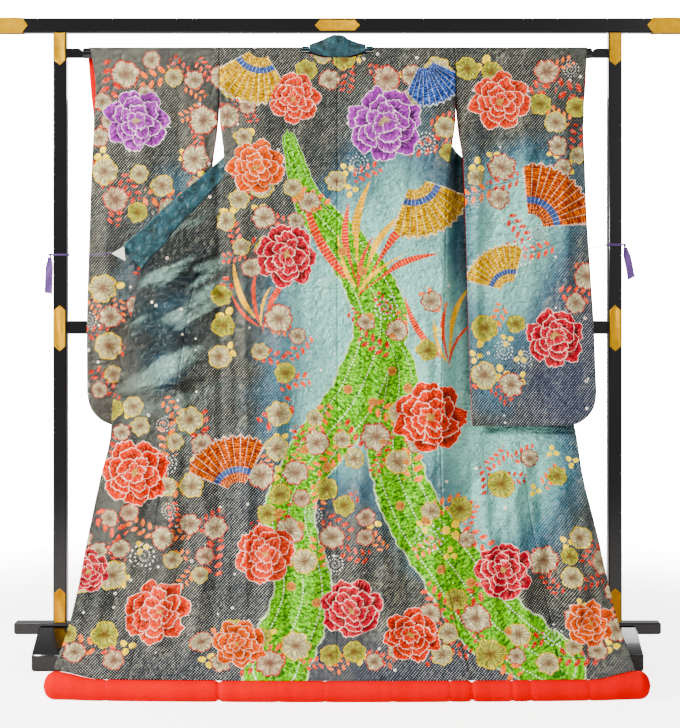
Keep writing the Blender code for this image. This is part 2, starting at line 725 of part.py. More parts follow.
def build_garment():
    runs = [QUARTER * k / ARC_ROWS for k in range(ARC_ROWS + 1)] + [0.06, 0.115, 0.185, 0.260]
    runs += [ROD_Z - z + QUARTER - SEAM / 2 for z in HEIGHTS]
    finish("back_left", back_panel("back_left", "left", runs), CLOTH_COLOUR, 0.45, smooth_angle=60)
    finish("back_right", back_panel("back_right", "right", runs), PALE_COLOUR, 0.45, smooth_angle=60)

    def left_seam(z):
        return smooth(LEFT_SPREAD, "seam", z)

    def right_seam(z):
        return smooth(RIGHT_SPREAD, "seam", z)

    panels = (
        ("okumi_left", OKUMI_HEIGHTS["left"], lambda z: smooth(LEFT_SPREAD, "edge", z),
         lambda z: left_seam(z) - SEAM / 2, left_depth, 7, CLOTH_COLOUR),
        ("front_left", HEIGHTS[2:], lambda z: left_seam(z) + SEAM / 2,
         lambda z: smooth(BACK_EDGE, "left", z) + SIDE_TUCK, left_depth, 8, CLOTH_COLOUR),
        ("okumi_right", OKUMI_HEIGHTS["right"], lambda z: right_seam(z) + SEAM / 2,
         lambda z: smooth(RIGHT_SPREAD, "edge", z), right_depth, 7, PALE_COLOUR),
        ("front_right", HEIGHTS[1:], lambda z: smooth(BACK_EDGE, "right", z) - SIDE_TUCK,
         lambda z: right_seam(z) - SEAM / 2, right_depth, 10, PALE_COLOUR),
    )
    for name, heights, left_of, right_of, depth, columns, colour in panels:
        mesh = spread_panel(name, heights, left_of, right_of, depth, columns)
        finish(name, mesh, colour, 0.45, smooth_angle=60)

    rows = (0.0, 0.11, 0.22, 0.34, 0.46, 0.58, 0.70, 0.82, 0.93, 1.0)
    finish("sleeve_left", sleeve("sleeve_left", "left", 0.658, rows), CLOTH_COLOUR, 0.45, smooth_angle=60)
    finish("sleeve_right", sleeve("sleeve_right", "right", 0.668, rows), PALE_COLOUR, 0.45, smooth_angle=60)
    falls = [QUARTER * k / ARC_ROWS for k in range(ARC_ROWS + 1)]
    falls += [QUARTER + ROD_Z - z for z in (1.640, 1.570, 1.500, 1.440)]
    for side in ("left", "right"):
        label = f"shoulder_{side}"
        finish(label, shoulder(label, side, falls), CLOTH_COLOUR, 0.45, smooth_angle=60)
    build_collar()
    build_hem_roll()
    build_cuff_linings()


def build_collar():
    """The collar band: standing at the neck, down behind the back, then out along each spread front."""
    neck = table(
        "x      seam_y  seam_z  top_y   top_z",
        (-0.0785, -0.0172, 1.7010, -0.0085, 1.7190),
        (-0.050, -0.0172, 1.6910, -0.0100, 1.7300),
        (-0.025, -0.0172, 1.6860, -0.0120, 1.7410),
        (-0.008, -0.0172, 1.6845, -0.0130, 1.7470),
        (0.012, -0.0172, 1.6845, -0.0130, 1.7455),
        (0.030, -0.0172, 1.6865, -0.0120, 1.7350),
        (0.052, -0.0172, 1.6915, -0.0100, 1.7260),
        (0.0785, -0.0172, 1.7010, -0.0085, 1.7190),
    )
    seam = [Vector(row) for row in zip(neck["x"], neck["seam_y"], neck["seam_z"])]
    top = [Vector(row) for row in zip(neck["x"], neck["top_y"], neck["top_z"])]
    band = ribbon("collar_neck", seam, top, Vector((0, -1, 0.2)), COLLAR)
    finish("collar_neck", band, CLOTH_COLOUR, 0.45, smooth_angle=60)

    layers = {"left": (-1, LEFT_SPREAD, left_depth), "right": (1, RIGHT_SPREAD, right_depth)}
    for side, (toward, spread, depth) in layers.items():
        band = []
        head = spread["z"][-1]
        rows = OKUMI_HEIGHTS[side]
        lower = min(z for z in rows if z > COLLAR_FOOT), max(z for z in rows if z < COLLAR_FOOT)
        for z in [head] + [z for z in rows if z > COLLAR_FOOT] + [COLLAR_FOOT]:
            x = smooth(spread, "edge", z)
            if z == COLLAR_FOOT:
                ends = [smooth(spread, "edge", height) for height in lower]
                x = ends[0] + (ends[1] - ends[0]) * (z - lower[0]) / (lower[1] - lower[0])
            down = (head - z) / (head - COLLAR_FOOT)
            width = COLLAR_WIDTH_TOP + (COLLAR_WIDTH_FOOT - COLLAR_WIDTH_TOP) * down
            across = (1.5 * SEAM, width / 2, width)
            band.append([hanging(depth, x + toward * 0.700 * out, z + 0.714 * out) for out in across])
        finish(f"collar_{side}", sheet(f"collar_{side}", band, COLLAR), CLOTH_COLOUR, 0.45, smooth_angle=60)

        seam, free = [], []
        for z, seam_x, free_x, drop in zip(*COLLAR_RUN.values()):
            z = min(z, ROD_Z - 0.0012)
            y = smooth(COLLAR_DEPTH[side], "y", z) + SEAM
            seam.append(Vector((toward * seam_x, y, z)))
            free.append(Vector((toward * free_x, y, z - drop)))
        for degrees, seam_x, free_x in zip(*COLLAR_CROSSING.values()):
            angle = math.radians(degrees)
            reach = FOLD_RADIUS + SEAM
            for line, x in ((seam, seam_x), (free, free_x)):
                line.append(Vector((toward * x, reach * math.sin(angle), ROD_Z + reach * math.cos(angle))))
        band = ribbon(f"collar_{side}_top", seam, free, Vector((0, 1, 0)), COLLAR)
        finish(f"collar_{side}_top", band, CLOTH_COLOUR, 0.45, smooth_angle=60)


def build_hem_roll():
    """The padded roll under the hem: flat where it lies on the floor, pinched where the seams gather it."""
    sides = 12
    places = sorted({round(HEM_LEFT + (HEM_RIGHT - HEM_LEFT) * k / 56, 4) for k in range(57)})
    places = [x for x in places if min(abs(x - at) for at, depth in PINCHES) > 0.010]
    places += [at + shift for at, depth in PINCHES for shift in (-0.007, 0.0, 0.007)]
    places += [HEM_LEFT + 0.003, HEM_LEFT + 0.010, HEM_RIGHT - 0.003, HEM_RIGHT - 0.010]
    places = sorted(places)
    points, faces = [], []
    for x in places:
        inset = max(0.0, 1 - min(x - HEM_LEFT, HEM_RIGHT - x) / 0.030)
        fullness = math.sqrt(max(0.0, 1 - inset * inset)) if inset else 1.0
        fullness = max(fullness, 0.12)
        for at, depth in PINCHES:
            fullness *= 1 - depth * math.exp(-(((x - at) / 0.006) ** 2))
        radius = HEM_ROLL_RADIUS + hem_swell(x)
        centre = Vector((x, -HEM_REACH + radius + hem_curve(x), radius))
        for k in range(sides):
            angle = 2 * math.pi * k / sides
            out = Vector((0, -math.cos(angle), math.sin(angle))) * radius * fullness
            point = centre + out
            if math.sin(angle) < -0.8:
                point.z = radius * (1 - fullness)
            points.append(point)
    for r in range(len(places) - 1):
        faces += band_faces(r * sides, (r + 1) * sides, sides)
    faces.append(list(range(sides)))
    faces.append(list(range((len(places) - 1) * sides, len(places) * sides)))
    finish("hem_roll", mesh_of("hem_roll", points, faces), RED, 0.6, smooth_angle=60)


def build_cuff_linings():
    """The red lining that shows in each cuff opening, on the inside of the far layer."""
    thickness = 0.001
    stations = ((1, 0.1), (2, 0.0), (2, 0.66))
    for side in ("left", "right"):
        rows = []
        for row, part in stations:
            low, high = CUFF_HEIGHTS[row], (CUFF_HEIGHTS + [ROD_Z])[row + 1]
            places = []
            for share in SLEEVE_SHARES[:-4:-1]:
                start, end = (sleeve_place(side, "far", share, z) for z in (low, high))
                places.append(start.lerp(end, part) - Vector((0, CLOTH + 2 * SEAM, 0)))
            places[0] = places[0].lerp(places[1], 0.1)
            rows.append([(place, Vector((0, 1, 0))) for place in places])
        label = f"cuff_lining_{side}"
        finish(label, sheet(label, rows, thickness), RED, 0.5, smooth_angle=60)


def build_ties():
    """The clips on the collar's ends, and the purple ties that draw them out to the posts."""
    half = POST_WIDTH / 2
    rows = table(
        "side toward clip_x clip_z post_z knot_y tail_foot tail_lean",
        ("left", -1, 0.6260, 1.136, 1.132, -0.010, 1.026, 0.004),
        ("right", 1, 0.6260, 1.136, 1.160, -0.010, 1.062, 0.018),
    )
    knot_radius = 0.0066
    for side, toward, clip_x, clip_z, post_z, knot_y, tail_foot, lean in zip(*rows.values()):
        depth = left_depth if side == "left" else right_depth
        clip_y = depth(toward * (clip_x - 0.04), clip_z) - 0.0025 - 3 * SEAM
        outline = [(clip_x, clip_z), (clip_x - 0.036, clip_z + 0.020), (clip_x - 0.040, clip_z - 0.021)]
        outline = [(toward * x, z) for x, z in outline]
        clip = prism(f"clip_{side}", outline, clip_y - 0.0025, clip_y + 0.0025, 1)
        finish(f"clip_{side}", clip, WHITE, 0.5)

        wrap_radius = half + CORD_RADIUS + SEAM
        corner = 0.004
        loop = []
        for k in range(4):
            for part in (0, 1, 2):
                angle = math.pi / 2 * k + math.pi / 4 * part
                cx = math.copysign(wrap_radius - corner, math.cos(math.pi / 2 * k + math.pi / 4))
                cy = math.copysign(wrap_radius - corner, math.sin(math.pi / 2 * k + math.pi / 4))
                loop.append(Vector((toward * POST_X + cx + corner * math.cos(angle),
                                    cy + corner * math.sin(angle), post_z)))
        finish(f"tie_wrap_{side}", tube(f"tie_wrap_{side}", loop, CORD_RADIUS, 6, closed=True), PURPLE, 0.7,
               smooth_angle=60)

        reach = toward * (POST_X - wrap_radius - CORD_RADIUS - 2 * SEAM)
        start = Vector((toward * (clip_x + SEAM + 0.0003), clip_y, clip_z))
        end = Vector((reach, -half + 0.010 if side == "left" else -0.004, post_z))
        sag = Vector((0, 0, -0.0015))
        path = [start.lerp(end, k / 8) + sag * math.sin(math.pi * k / 8) for k in range(9)]
        cord = tube(f"tie_cord_{side}", path, CORD_RADIUS, 6)
        finish(f"tie_cord_{side}", cord, PURPLE, 0.7, smooth_angle=60)

        knot_x = toward * (POST_X + wrap_radius + knot_radius + 2 * SEAM)
        tail_z = post_z - 0.9 * knot_radius - SEAM
        work = bmesh.new()
        bmesh.ops.create_icosphere(work, subdivisions=1, radius=knot_radius)
        for vertex in work.verts:
            vertex.co = Vector((knot_x + vertex.co.x, knot_y + vertex.co.y, post_z + vertex.co.z * 0.9))
        knot = bpy.data.meshes.new(f"tie_knot_{side}")
        work.to_mesh(knot)
        work.free()
        finish(f"tie_knot_{side}", knot, PURPLE, 0.7, smooth_angle=60)

        near, far = [], []
        for k in range(7):
            along = k / 6
            z = tail_z + (tail_foot - tail_z) * along
            middle = knot_x + toward * (0.0015 + lean * along)
            width = 0.0055 + 0.0050 * ease(along * 3)
            bow = -0.003 * math.sin(math.pi * along)
            tip = 0.010 if k == 6 else 0.0
            near.append(Vector((middle - width, knot_y + bow, z)))
            far.append(Vector((middle + width, knot_y + bow, z + tip * (1 if toward > 0 else -0.3))))
        tail = ribbon(f"tie_tail_{side}", near, far, Vector((0, 1, 0)), TAPE)
        finish(f"tie_tail_{side}", tail, PURPLE, 0.7, smooth_angle=60)


for old in list(bpy.data.objects):
    bpy.data.objects.remove(old)

build_rack()
build_fittings()
build_garment()
build_ties()
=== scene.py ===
# Looks of the uchikake on its rack: dense draped cloth, tie-dyed satin, lacquer and gilt.
# Metres, +Z up, the viewer on -Y, in the CAD part's frame.

import math

import bmesh
import bpy
import numpy as np
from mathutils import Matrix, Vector


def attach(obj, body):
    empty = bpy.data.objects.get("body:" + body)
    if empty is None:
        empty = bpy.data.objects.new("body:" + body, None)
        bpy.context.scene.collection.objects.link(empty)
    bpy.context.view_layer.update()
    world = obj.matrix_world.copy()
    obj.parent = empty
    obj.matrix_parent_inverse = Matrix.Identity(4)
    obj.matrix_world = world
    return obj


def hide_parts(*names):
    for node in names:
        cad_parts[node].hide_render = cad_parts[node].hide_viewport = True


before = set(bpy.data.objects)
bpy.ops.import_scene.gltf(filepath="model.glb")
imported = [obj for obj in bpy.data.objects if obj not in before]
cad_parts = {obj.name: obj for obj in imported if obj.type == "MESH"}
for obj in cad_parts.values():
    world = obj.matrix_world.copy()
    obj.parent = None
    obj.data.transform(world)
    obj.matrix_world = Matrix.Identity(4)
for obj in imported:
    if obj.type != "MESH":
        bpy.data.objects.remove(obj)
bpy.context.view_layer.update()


print("frame loaded")

# Sizes that pieces share: the posts' plane in the frame, the rod's middle, the cloth's fold over it, the
# panels' foot on the hem roll, and the clearance between pieces
postY = 0.17
rodZ = 1.6967
foldRadius = 0.0168
quarter = foldRadius * math.pi / 2
hemZ = 0.0524
clear = 0.0003
# The padded hem roll. It curves back towards its ends, and swells into its corners
hem = {
    "reach": 0.490, "radius": 0.026, "left": -0.752, "right": 0.801, "around": 44, "press": 0.0040,
    "curve": 0.024, "curveSpan": 0.78, "swell": 0.0085, "swellSpan": 0.150, "corner": 0.030,
}


# Tables and smooth curves

def table(names, *rows):
    # A table's columns by name. Its first column runs upwards.
    columns = np.array(rows, float).T
    return dict(zip(names.split(), columns))


def smooth(rows, name, at):
    # A column's values at places, on a smooth curve through its rows that never overshoots them.
    places = next(iter(rows.values()))
    values = rows[name]
    steps = np.diff(places)
    slopes = np.diff(values) / steps
    before, after = slopes[:-1], slopes[1:]
    product = before * after
    total = np.where(np.abs(before + after) > 1e-12, before + after, 1.0)
    inner = np.where(product > 0, 2 * product / total, 0.0)
    tangents = np.concatenate([slopes[:1], inner, slopes[-1:]])
    at = np.clip(np.asarray(at, float), places[0], places[-1])
    k = np.clip(np.searchsorted(places, at, side="right") - 1, 0, len(places) - 2)
    step = steps[k]
    t = (at - places[k]) / step
    start = (1 + 2 * t) * (1 - t) ** 2 * values[k] + t * (1 - t) ** 2 * step * tangents[k]
    end = t * t * (3 - 2 * t) * values[k + 1] + t * t * (t - 1) * step * tangents[k + 1]
    return start + end


def ease(t):
    t = np.clip(t, 0.0, 1.0)
    return t * t * (3 - 2 * t)


def roundTurn(count):
    # Even turns once round a circle, without the last, which is the first again.
    return np.linspace(0, 2 * math.pi, count + 1)[:-1]


# How far each layer hangs from the plane of the posts, by height
hang = table(
    "z      back    spread   left_near left_far right_near right_far",
    (0.05, -0.470, -0.470, -0.031, -0.0195, -0.140, -0.130),
    (0.12, -0.418, -0.412, -0.031, -0.0195, -0.140, -0.130),
    (0.20, -0.362, -0.345, -0.031, -0.0195, -0.140, -0.130),
    (0.40, -0.258, -0.226, -0.031, -0.0195, -0.140, -0.130),
    (0.65, -0.163, -0.112, -0.031, -0.0195, -0.138, -0.127),
    (0.80, -0.121, -0.062, -0.030, -0.0195, -0.090, -0.078),
    (0.95, -0.088, -0.026, -0.029, -0.0192, -0.054, -0.041),
    (1.13, -0.061, 0.002, -0.027, -0.008, -0.034, -0.014),
    (1.38, -0.039, 0.028, -0.022, 0.009, -0.023, 0.010),
    (1.50, -0.031, 0.032, -0.019, 0.0145, -0.0195, 0.015),
    (1.60, -0.0235, 0.034, -0.0172, 0.0166, -0.0175, 0.0168),
    (1.6967, -0.0168, 0.034, -0.0168, 0.0168, -0.0168, 0.0168),
)
backEdge = table(
    "z      left    right",
    (0.05, -0.301, 0.342),
    (0.19, -0.300, 0.305),
    (0.35, -0.295, 0.278),
    (0.60, -0.296, 0.277),
    (1.00, -0.305, 0.294),
    (1.33, -0.312, 0.304),
    (1.43, -0.318, 0.318),
    (1.52, -0.329, 0.329),
    (1.72, -0.329, 0.329),
)
leftSpread = table(
    "z      edge    seam",
    (0.05, -0.729, -0.533),
    (0.13, -0.707, -0.520),
    (0.25, -0.683, -0.506),
    (0.38, -0.665, -0.489),
    (0.53, -0.640, -0.472),
    (0.64, -0.617, -0.457),
    (0.74, -0.612, -0.443),
    (0.80, -0.596, -0.435),
    (0.92, -0.577, -0.420),
    (1.02, -0.557, -0.403),
    (1.09, -0.545, -0.386),
    (1.16, -0.488, -0.358),
    (1.23, -0.431, -0.331),
    (1.29, -0.374, -0.312),
    (1.354, -0.316, -0.300),
    (1.384, -0.290, -0.280),
)
rightSpread = table(
    "z      edge    seam",
    (0.05, 0.764, 0.574),
    (0.16, 0.736, 0.560),
    (0.28, 0.713, 0.541),
    (0.42, 0.689, 0.520),
    (0.53, 0.667, 0.508),
    (0.66, 0.651, 0.491),
    (0.80, 0.608, 0.452),
    (0.92, 0.580, 0.428),
    (1.09, 0.545, 0.392),
    (1.16, 0.488, 0.362),
    (1.23, 0.440, 0.338),
    (1.30, 0.396, 0.315),
    (1.345, 0.357, 0.302),
    (1.385, 0.319, 0.303),
    (1.412, 0.294, 0.285),
)
leftSleeve = table(
    "z      body    near    far",
    (0.65, -0.352, -0.697, -0.697),
    (0.89, -0.352, -0.699, -0.699),
    (1.18, -0.352, -0.693, -0.693),
    (1.36, -0.351, -0.688, -0.688),
    (1.49, -0.336, -0.682, -0.6835),
    (1.60, -0.3293, -0.6755, -0.694),
    (1.72, -0.3293, -0.693, -0.703),
)
rightSleeve = table(
    "z      body    near    far",
    (0.65, 0.367, 0.711, 0.711),
    (0.90, 0.363, 0.711, 0.711),
    (1.08, 0.360, 0.704, 0.704),
    (1.25, 0.356, 0.695, 0.695),
    (1.40, 0.350, 0.691, 0.691),
    (1.49, 0.337, 0.687, 0.6885),
    (1.60, 0.3293, 0.689, 0.696),
    (1.72, 0.3293, 0.699, 0.702),
)

# The largest folds of the body, as in the solids: ridges, or troughs where depth is negative
# Each row: head across and up, foot across and up, width, depth
bodyFolds = [
    (-0.262, 1.36, -0.240, 0.22, 0.022, 0.007),
    (-0.150, 1.02, -0.185, 0.10, 0.040, 0.011),
    (-0.040, 0.74, -0.075, 0.08, 0.034, 0.009),
    (0.070, 0.98, 0.050, 0.09, 0.042, 0.011),
    (0.165, 1.22, 0.190, 0.09, 0.036, -0.009),
    (0.240, 1.10, 0.262, 0.12, 0.024, 0.007),
    (-0.545, 1.085, -0.320, 1.030, 0.014, 0.009),
    (-0.500, 1.030, -0.330, 0.990, 0.012, 0.006),
    (-0.470, 0.940, -0.345, 0.420, 0.030, 0.009),
    (-0.585, 0.805, -0.400, 0.775, 0.012, 0.006),
    (-0.430, 0.600, -0.465, 0.090, 0.036, 0.012),
    (-0.560, 0.560, -0.640, 0.100, 0.034, 0.010),
    (-0.340, 0.480, -0.375, 0.085, 0.028, 0.009),
    (0.385, 0.600, 0.420, 0.085, 0.030, 0.012),
    (0.470, 0.580, 0.500, 0.085, 0.034, 0.013),
    (0.590, 0.570, 0.640, 0.090, 0.034, 0.011),
    (0.650, 0.480, 0.715, 0.100, 0.024, 0.008),
]


def foldDepth(folds, x, z):
    # How far a set of folds stands out at places.
    out = np.zeros(np.broadcast(x, z).shape)
    for headX, headZ, footX, footZ, width, depth in folds:
        runX, runZ = footX - headX, footZ - headZ
        length = math.hypot(runX, runZ)
        along = ((x - headX) * runX + (z - headZ) * runZ) / length
        aside = ((x - headX) * runZ - (z - headZ) * runX) / length
        ends = ease(along / (0.3 * length)) * ease((length - along) / (0.12 * length))
        out += depth * ends * np.exp(-((aside / width) ** 2))
    return out


def hemCurve(x):
    return hem["curve"] * (x / hem["curveSpan"]) ** 2


def hemSwell(x):
    inside = np.minimum(x - hem["left"], hem["right"] - x)
    return hem["swell"] * ease((hem["swellSpan"] - inside) / (hem["swellSpan"] - hem["radius"]))


def overHem(x, z):
    # A height near the hem, lifted to clear the roll where that swells into the hem's corners.
    lift = hemSwell(x)
    return z + (2 * lift + clear * np.sqrt(lift / hem["swell"])) * ease((0.20 - z) / 0.15)


def backDepth(x, z):
    bend = hemCurve(x) * ease((1.1 - z) / 1.05)
    return smooth(hang, "back", z) + bend - foldDepth(bodyFolds, x, z)


def slopeAt(depth, x, z):
    step = 0.004
    slope = (depth(x, z + step) - depth(x, z - step)) / (2 * step)
    return np.where(z < hemZ + clear, 0.0, slope)


def behindBack(x, z):
    return backDepth(x, z) + 0.0027 * np.hypot(1, slopeAt(backDepth, x, z))


def leftDepth(x, z):
    edge = smooth(backEdge, "left", z)
    dip = 0.007 * np.exp(-(((x - edge + 0.020) / 0.013) ** 2)) * ease((z - 0.10) / 0.2)
    return behindBack(x, z) + dip


def rightDepth(x, z):
    seam = smooth(backEdge, "right", z) - 0.006
    turn = ease((x - seam - 0.008) / np.maximum(0.02, 0.338 - seam - 0.008))
    turn = turn + (1 - turn) * ease((0.34 - z) / 0.25) * ease((x - seam) / 0.05)
    bend = hemCurve(x) * ease((1.1 - z) / 1.05)
    far = smooth(hang, "spread", z) + bend - foldDepth(bodyFolds, x, z)
    return behindBack(x, z) * (1 - turn) + far * turn


# Finer creases, that only the looks carry: the body's, then each sleeve's near side
fineFolds = [
    (-0.300, 1.300, -0.290, 0.500, 0.010, 0.0022),
    (-0.210, 1.620, -0.190, 1.150, 0.018, 0.0022),
    (-0.110, 1.420, -0.090, 0.760, 0.016, -0.0018),
    (0.060, 1.560, 0.030, 1.020, 0.018, 0.0020),
    (0.120, 1.340, 0.110, 0.640, 0.016, 0.0024),
    (0.215, 1.600, 0.205, 1.200, 0.015, -0.0020),
    (0.290, 1.150, 0.281, 0.420, 0.009, 0.0026),
    (-0.010, 0.900, -0.014, 0.120, 0.018, -0.0030),
    (0.110, 0.640, 0.128, 0.100, 0.015, 0.0040),
    (-0.225, 0.700, -0.250, 0.110, 0.016, 0.0036),
    (-0.110, 0.520, -0.130, 0.095, 0.014, -0.0040),
    (-0.520, 1.080, -0.330, 1.140, 0.007, 0.0042),
    (-0.575, 1.065, -0.345, 0.965, 0.010, 0.0056),
    (-0.560, 1.020, -0.370, 0.860, 0.010, -0.0046),
    (-0.520, 1.070, -0.335, 1.075, 0.009, -0.0050),
    (-0.600, 0.760, -0.360, 0.800, 0.010, 0.0048),
    (-0.600, 0.640, -0.400, 0.500, 0.012, 0.0044),
    (-0.360, 0.560, -0.580, 0.150, 0.016, 0.0048),
    (0.650, 0.600, 0.470, 0.200, 0.017, 0.0060),
    (0.560, 0.640, 0.390, 0.330, 0.014, 0.0052),
    (0.720, 0.420, 0.590, 0.130, 0.016, 0.0050),
    (0.480, 0.400, 0.350, 0.130, 0.015, 0.0048),
    (0.240, 1.020, 0.080, 0.700, 0.016, 0.0040),
    (0.280, 0.620, 0.150, 0.330, 0.014, 0.0042),
    (-0.560, 0.960, -0.360, 0.900, 0.008, 0.0034),
    (-0.430, 1.150, -0.322, 0.960, 0.007, -0.0030),
    (-0.590, 0.700, -0.420, 0.690, 0.008, 0.0036),
    (-0.540, 0.880, -0.350, 0.840, 0.006, 0.0026),
    (-0.400, 0.800, -0.420, 0.300, 0.014, -0.0040),
    (-0.510, 0.700, -0.560, 0.120, 0.016, 0.0046),
    (-0.620, 0.420, -0.690, 0.095, 0.014, 0.0040),
    (0.360, 0.660, 0.372, 0.120, 0.010, -0.0040),
    (0.440, 0.640, 0.460, 0.100, 0.012, 0.0040),
    (0.540, 0.620, 0.568, 0.100, 0.014, -0.0046),
    (0.610, 0.560, 0.668, 0.110, 0.012, 0.0040),
]
sleeveFolds = {
    "left": [
        (-0.640, 1.600, -0.655, 0.760, 0.020, 0.0060),
        (-0.560, 1.640, -0.520, 1.180, 0.022, 0.0040),
        (-0.450, 1.660, -0.430, 1.120, 0.020, -0.0036),
        (-0.380, 1.560, -0.372, 1.060, 0.012, 0.0044),
        (-0.600, 1.240, -0.590, 0.700, 0.020, -0.0040),
    ],
    "right": [
        (0.392, 1.600, 0.384, 0.760, 0.012, 0.0056),
        (0.440, 1.560, 0.425, 0.900, 0.018, -0.0040),
        (0.520, 1.640, 0.540, 1.050, 0.022, 0.0044),
        (0.630, 1.560, 0.640, 0.800, 0.020, 0.0050),
        (0.560, 1.120, 0.580, 0.700, 0.020, -0.0036),
    ],
}


def cloud(x, z, scale, seed):
    # Soft noise from -1 to 1 at places in metres, with cells of the given size.
    lattice = np.random.default_rng(seed).random((97, 89))
    u, v = x / scale + 31.4, z / scale + 17.2
    i, j = np.floor(u).astype(int), np.floor(v).astype(int)
    s, t = ease(u - i), ease(v - j)

    def corner(di, dj):
        return lattice[(i + di) % 97, (j + dj) % 89]

    low = corner(0, 0) * (1 - s) + corner(1, 0) * s
    high = corner(0, 1) * (1 - s) + corner(1, 1) * s
    return 2 * (low * (1 - t) + high * t) - 1


def pucker(x, z):
    # The small unevenness that tie-dyeing leaves, in metres, stronger beside the seams.
    seams = np.full(np.broadcast(x, z).shape, 1.0)
    lines = [smooth(rows, name, z) for rows, name in ((backEdge, "left"), (backEdge, "right"),
                                                      (leftSpread, "seam"), (rightSpread, "seam"))]
    for line in (0.0 * z, *lines):
        seams = np.minimum(seams, np.abs(x - line))
    beside = np.exp(-((seams / 0.022) ** 2))
    wide = 0.0017 * cloud(x, z, 0.050, 3) + 0.0010 * cloud(x, z, 0.022, 4)
    broad = 0.0040 * cloud(x * 1.4, z * 0.7, 0.120, 6)
    across = 0.0020 * cloud(x, z * 2.6, 0.050, 5)
    return wide + broad + across * beside - 0.0018 * np.exp(-((seams / 0.004) ** 2))


# The garment's dense grids: points, and their places on the flat cloth

runTable = {}


def runOf(z):
    # How far down the back's slope a height is from the rod's top, in metres of cloth.
    if not runTable:
        heights = np.linspace(rodZ, 0.04, 900)
        depths = smooth(hang, "back", heights)
        lengths = np.hypot(np.diff(heights), np.diff(depths))
        runTable["z"] = heights[::-1]
        runTable["run"] = (quarter + np.concatenate([[0], np.cumsum(lengths)]))[::-1]
    return np.interp(z, runTable["z"], runTable["run"])


def gridNormals(points, toward):
    # Unit normals of a grid of points, on the side of the given direction at its middle.
    down = np.gradient(points, axis=0)
    across = np.gradient(points, axis=1)
    normals = np.cross(down, across)
    normals /= np.maximum(np.linalg.norm(normals, axis=2, keepdims=True), 1e-12)
    middle = normals[normals.shape[0] // 2, normals.shape[1] // 2]
    return normals if middle @ np.array(toward) > 0 else -normals


def hangingGrid(heights, low, high, columns, depth):
    # A panel's grid below the rod, between two edges, with its creases added to its depth.
    share = np.linspace(0, 1, columns + 1)[None, :]
    z = heights[:, None] + 0 * share
    x = low(z) + (high(z) - low(z)) * share
    z = overHem(x, z)
    y = depth(x, z) - bodyShape(x, z)
    return np.stack([x, y, z], axis=2), np.stack([x, runOf(z)], axis=2)


def overRod(x, degrees):
    # Rows of points over the rod: its turn is 0 at the top and 90 at the viewer's side.
    angle = np.radians(degrees)[:, None] + 0 * x
    y = -np.sin(angle) * foldRadius
    z = rodZ + np.cos(angle) * foldRadius
    return np.stack([x + 0 * angle, y, z], axis=2), np.stack([x + 0 * angle, angle * foldRadius], axis=2)


def bodyShape(x, z):
    fade = ease((rodZ - z) / 0.10) * ease((z - 0.06) / 0.05)
    crests = [(*row[:4], 0.45 * row[4], row[5]) for row in bodyFolds]
    return (2.2 * foldDepth(fineFolds, x, z) + 0.7 * foldDepth(crests, x, z) + pucker(x, z)) * fade


# Building meshes, with the cloth's places and its motifs as attributes

def addObject(name, data):
    thing = bpy.data.objects.new(name, data)
    bpy.context.scene.collection.objects.link(thing)
    return thing


def addMesh(name, points, faces, materials, materialOf=None, smoothAngle=None):
    mesh = bpy.data.meshes.new(name)
    mesh.from_pydata(points.tolist(), [], faces)
    for material in materials:
        mesh.materials.append(material)
    if materialOf is not None:
        mesh.polygons.foreach_set("material_index", materialOf)
    mesh.polygons.foreach_set("use_smooth", [True] * len(faces))
    if smoothAngle:
        mesh.set_sharp_from_angle(angle=math.radians(smoothAngle))
    mesh.update()
    return addObject(name, mesh)


def shellFaces(rows, columns, cut):
    # Faces of a closed shell on two grids: the outer and inner sides, and the rim round what isn't cut.
    r, c = np.nonzero(~cut)
    start = r * columns + c
    corners = np.stack([start, start + columns, start + columns + 1, start + 1], axis=1)
    far = corners[:, ::-1] + rows * columns
    rims = []
    bare = np.pad(cut, 1, constant_values=True)
    for k, (down, across) in enumerate(((0, -1), (1, 0), (0, 1), (-1, 0))):
        open_ = bare[r + 1 + down, c + 1 + across]
        here, after = corners[open_, k], corners[open_, (k + 1) % 4]
        rims.append(np.stack([after, here, here + rows * columns, after + rows * columns], axis=1))
    return corners, far, np.concatenate(rims)


def shell(name, points, cloth, toward, thickness, materials, group=None, cut=None):
    # A closed cloth shell: outer grid as given, inner side moved in, lining within.
    normals = gridNormals(points, toward)
    rows, columns = points.shape[:2]
    cut = np.zeros((rows - 1, columns - 1), bool) if cut is None else cut
    outer, inner, rim = shellFaces(rows, columns, cut)
    at = rows // 2, columns // 2
    across, down = points[at[0], at[1] + 1] - points[at], points[at[0] + 1, at[1]] - points[at]
    faces = np.concatenate([outer, inner, rim])
    if np.cross(down, across) @ normals[at] < 0:
        faces = faces[:, ::-1]
    both = np.concatenate([points.reshape(-1, 3), (points - normals * thickness).reshape(-1, 3)])
    kinds = np.concatenate([np.zeros(len(outer)), np.ones(len(inner)), np.zeros(len(rim))]).astype(int)
    both[:, 1] += postY
    thing = addMesh(name, both, faces.tolist(), materials, kinds)
    places = np.concatenate([cloth.reshape(-1, 2)] * 2)
    dress(thing, places, faces, kinds == 0, group)
    return thing


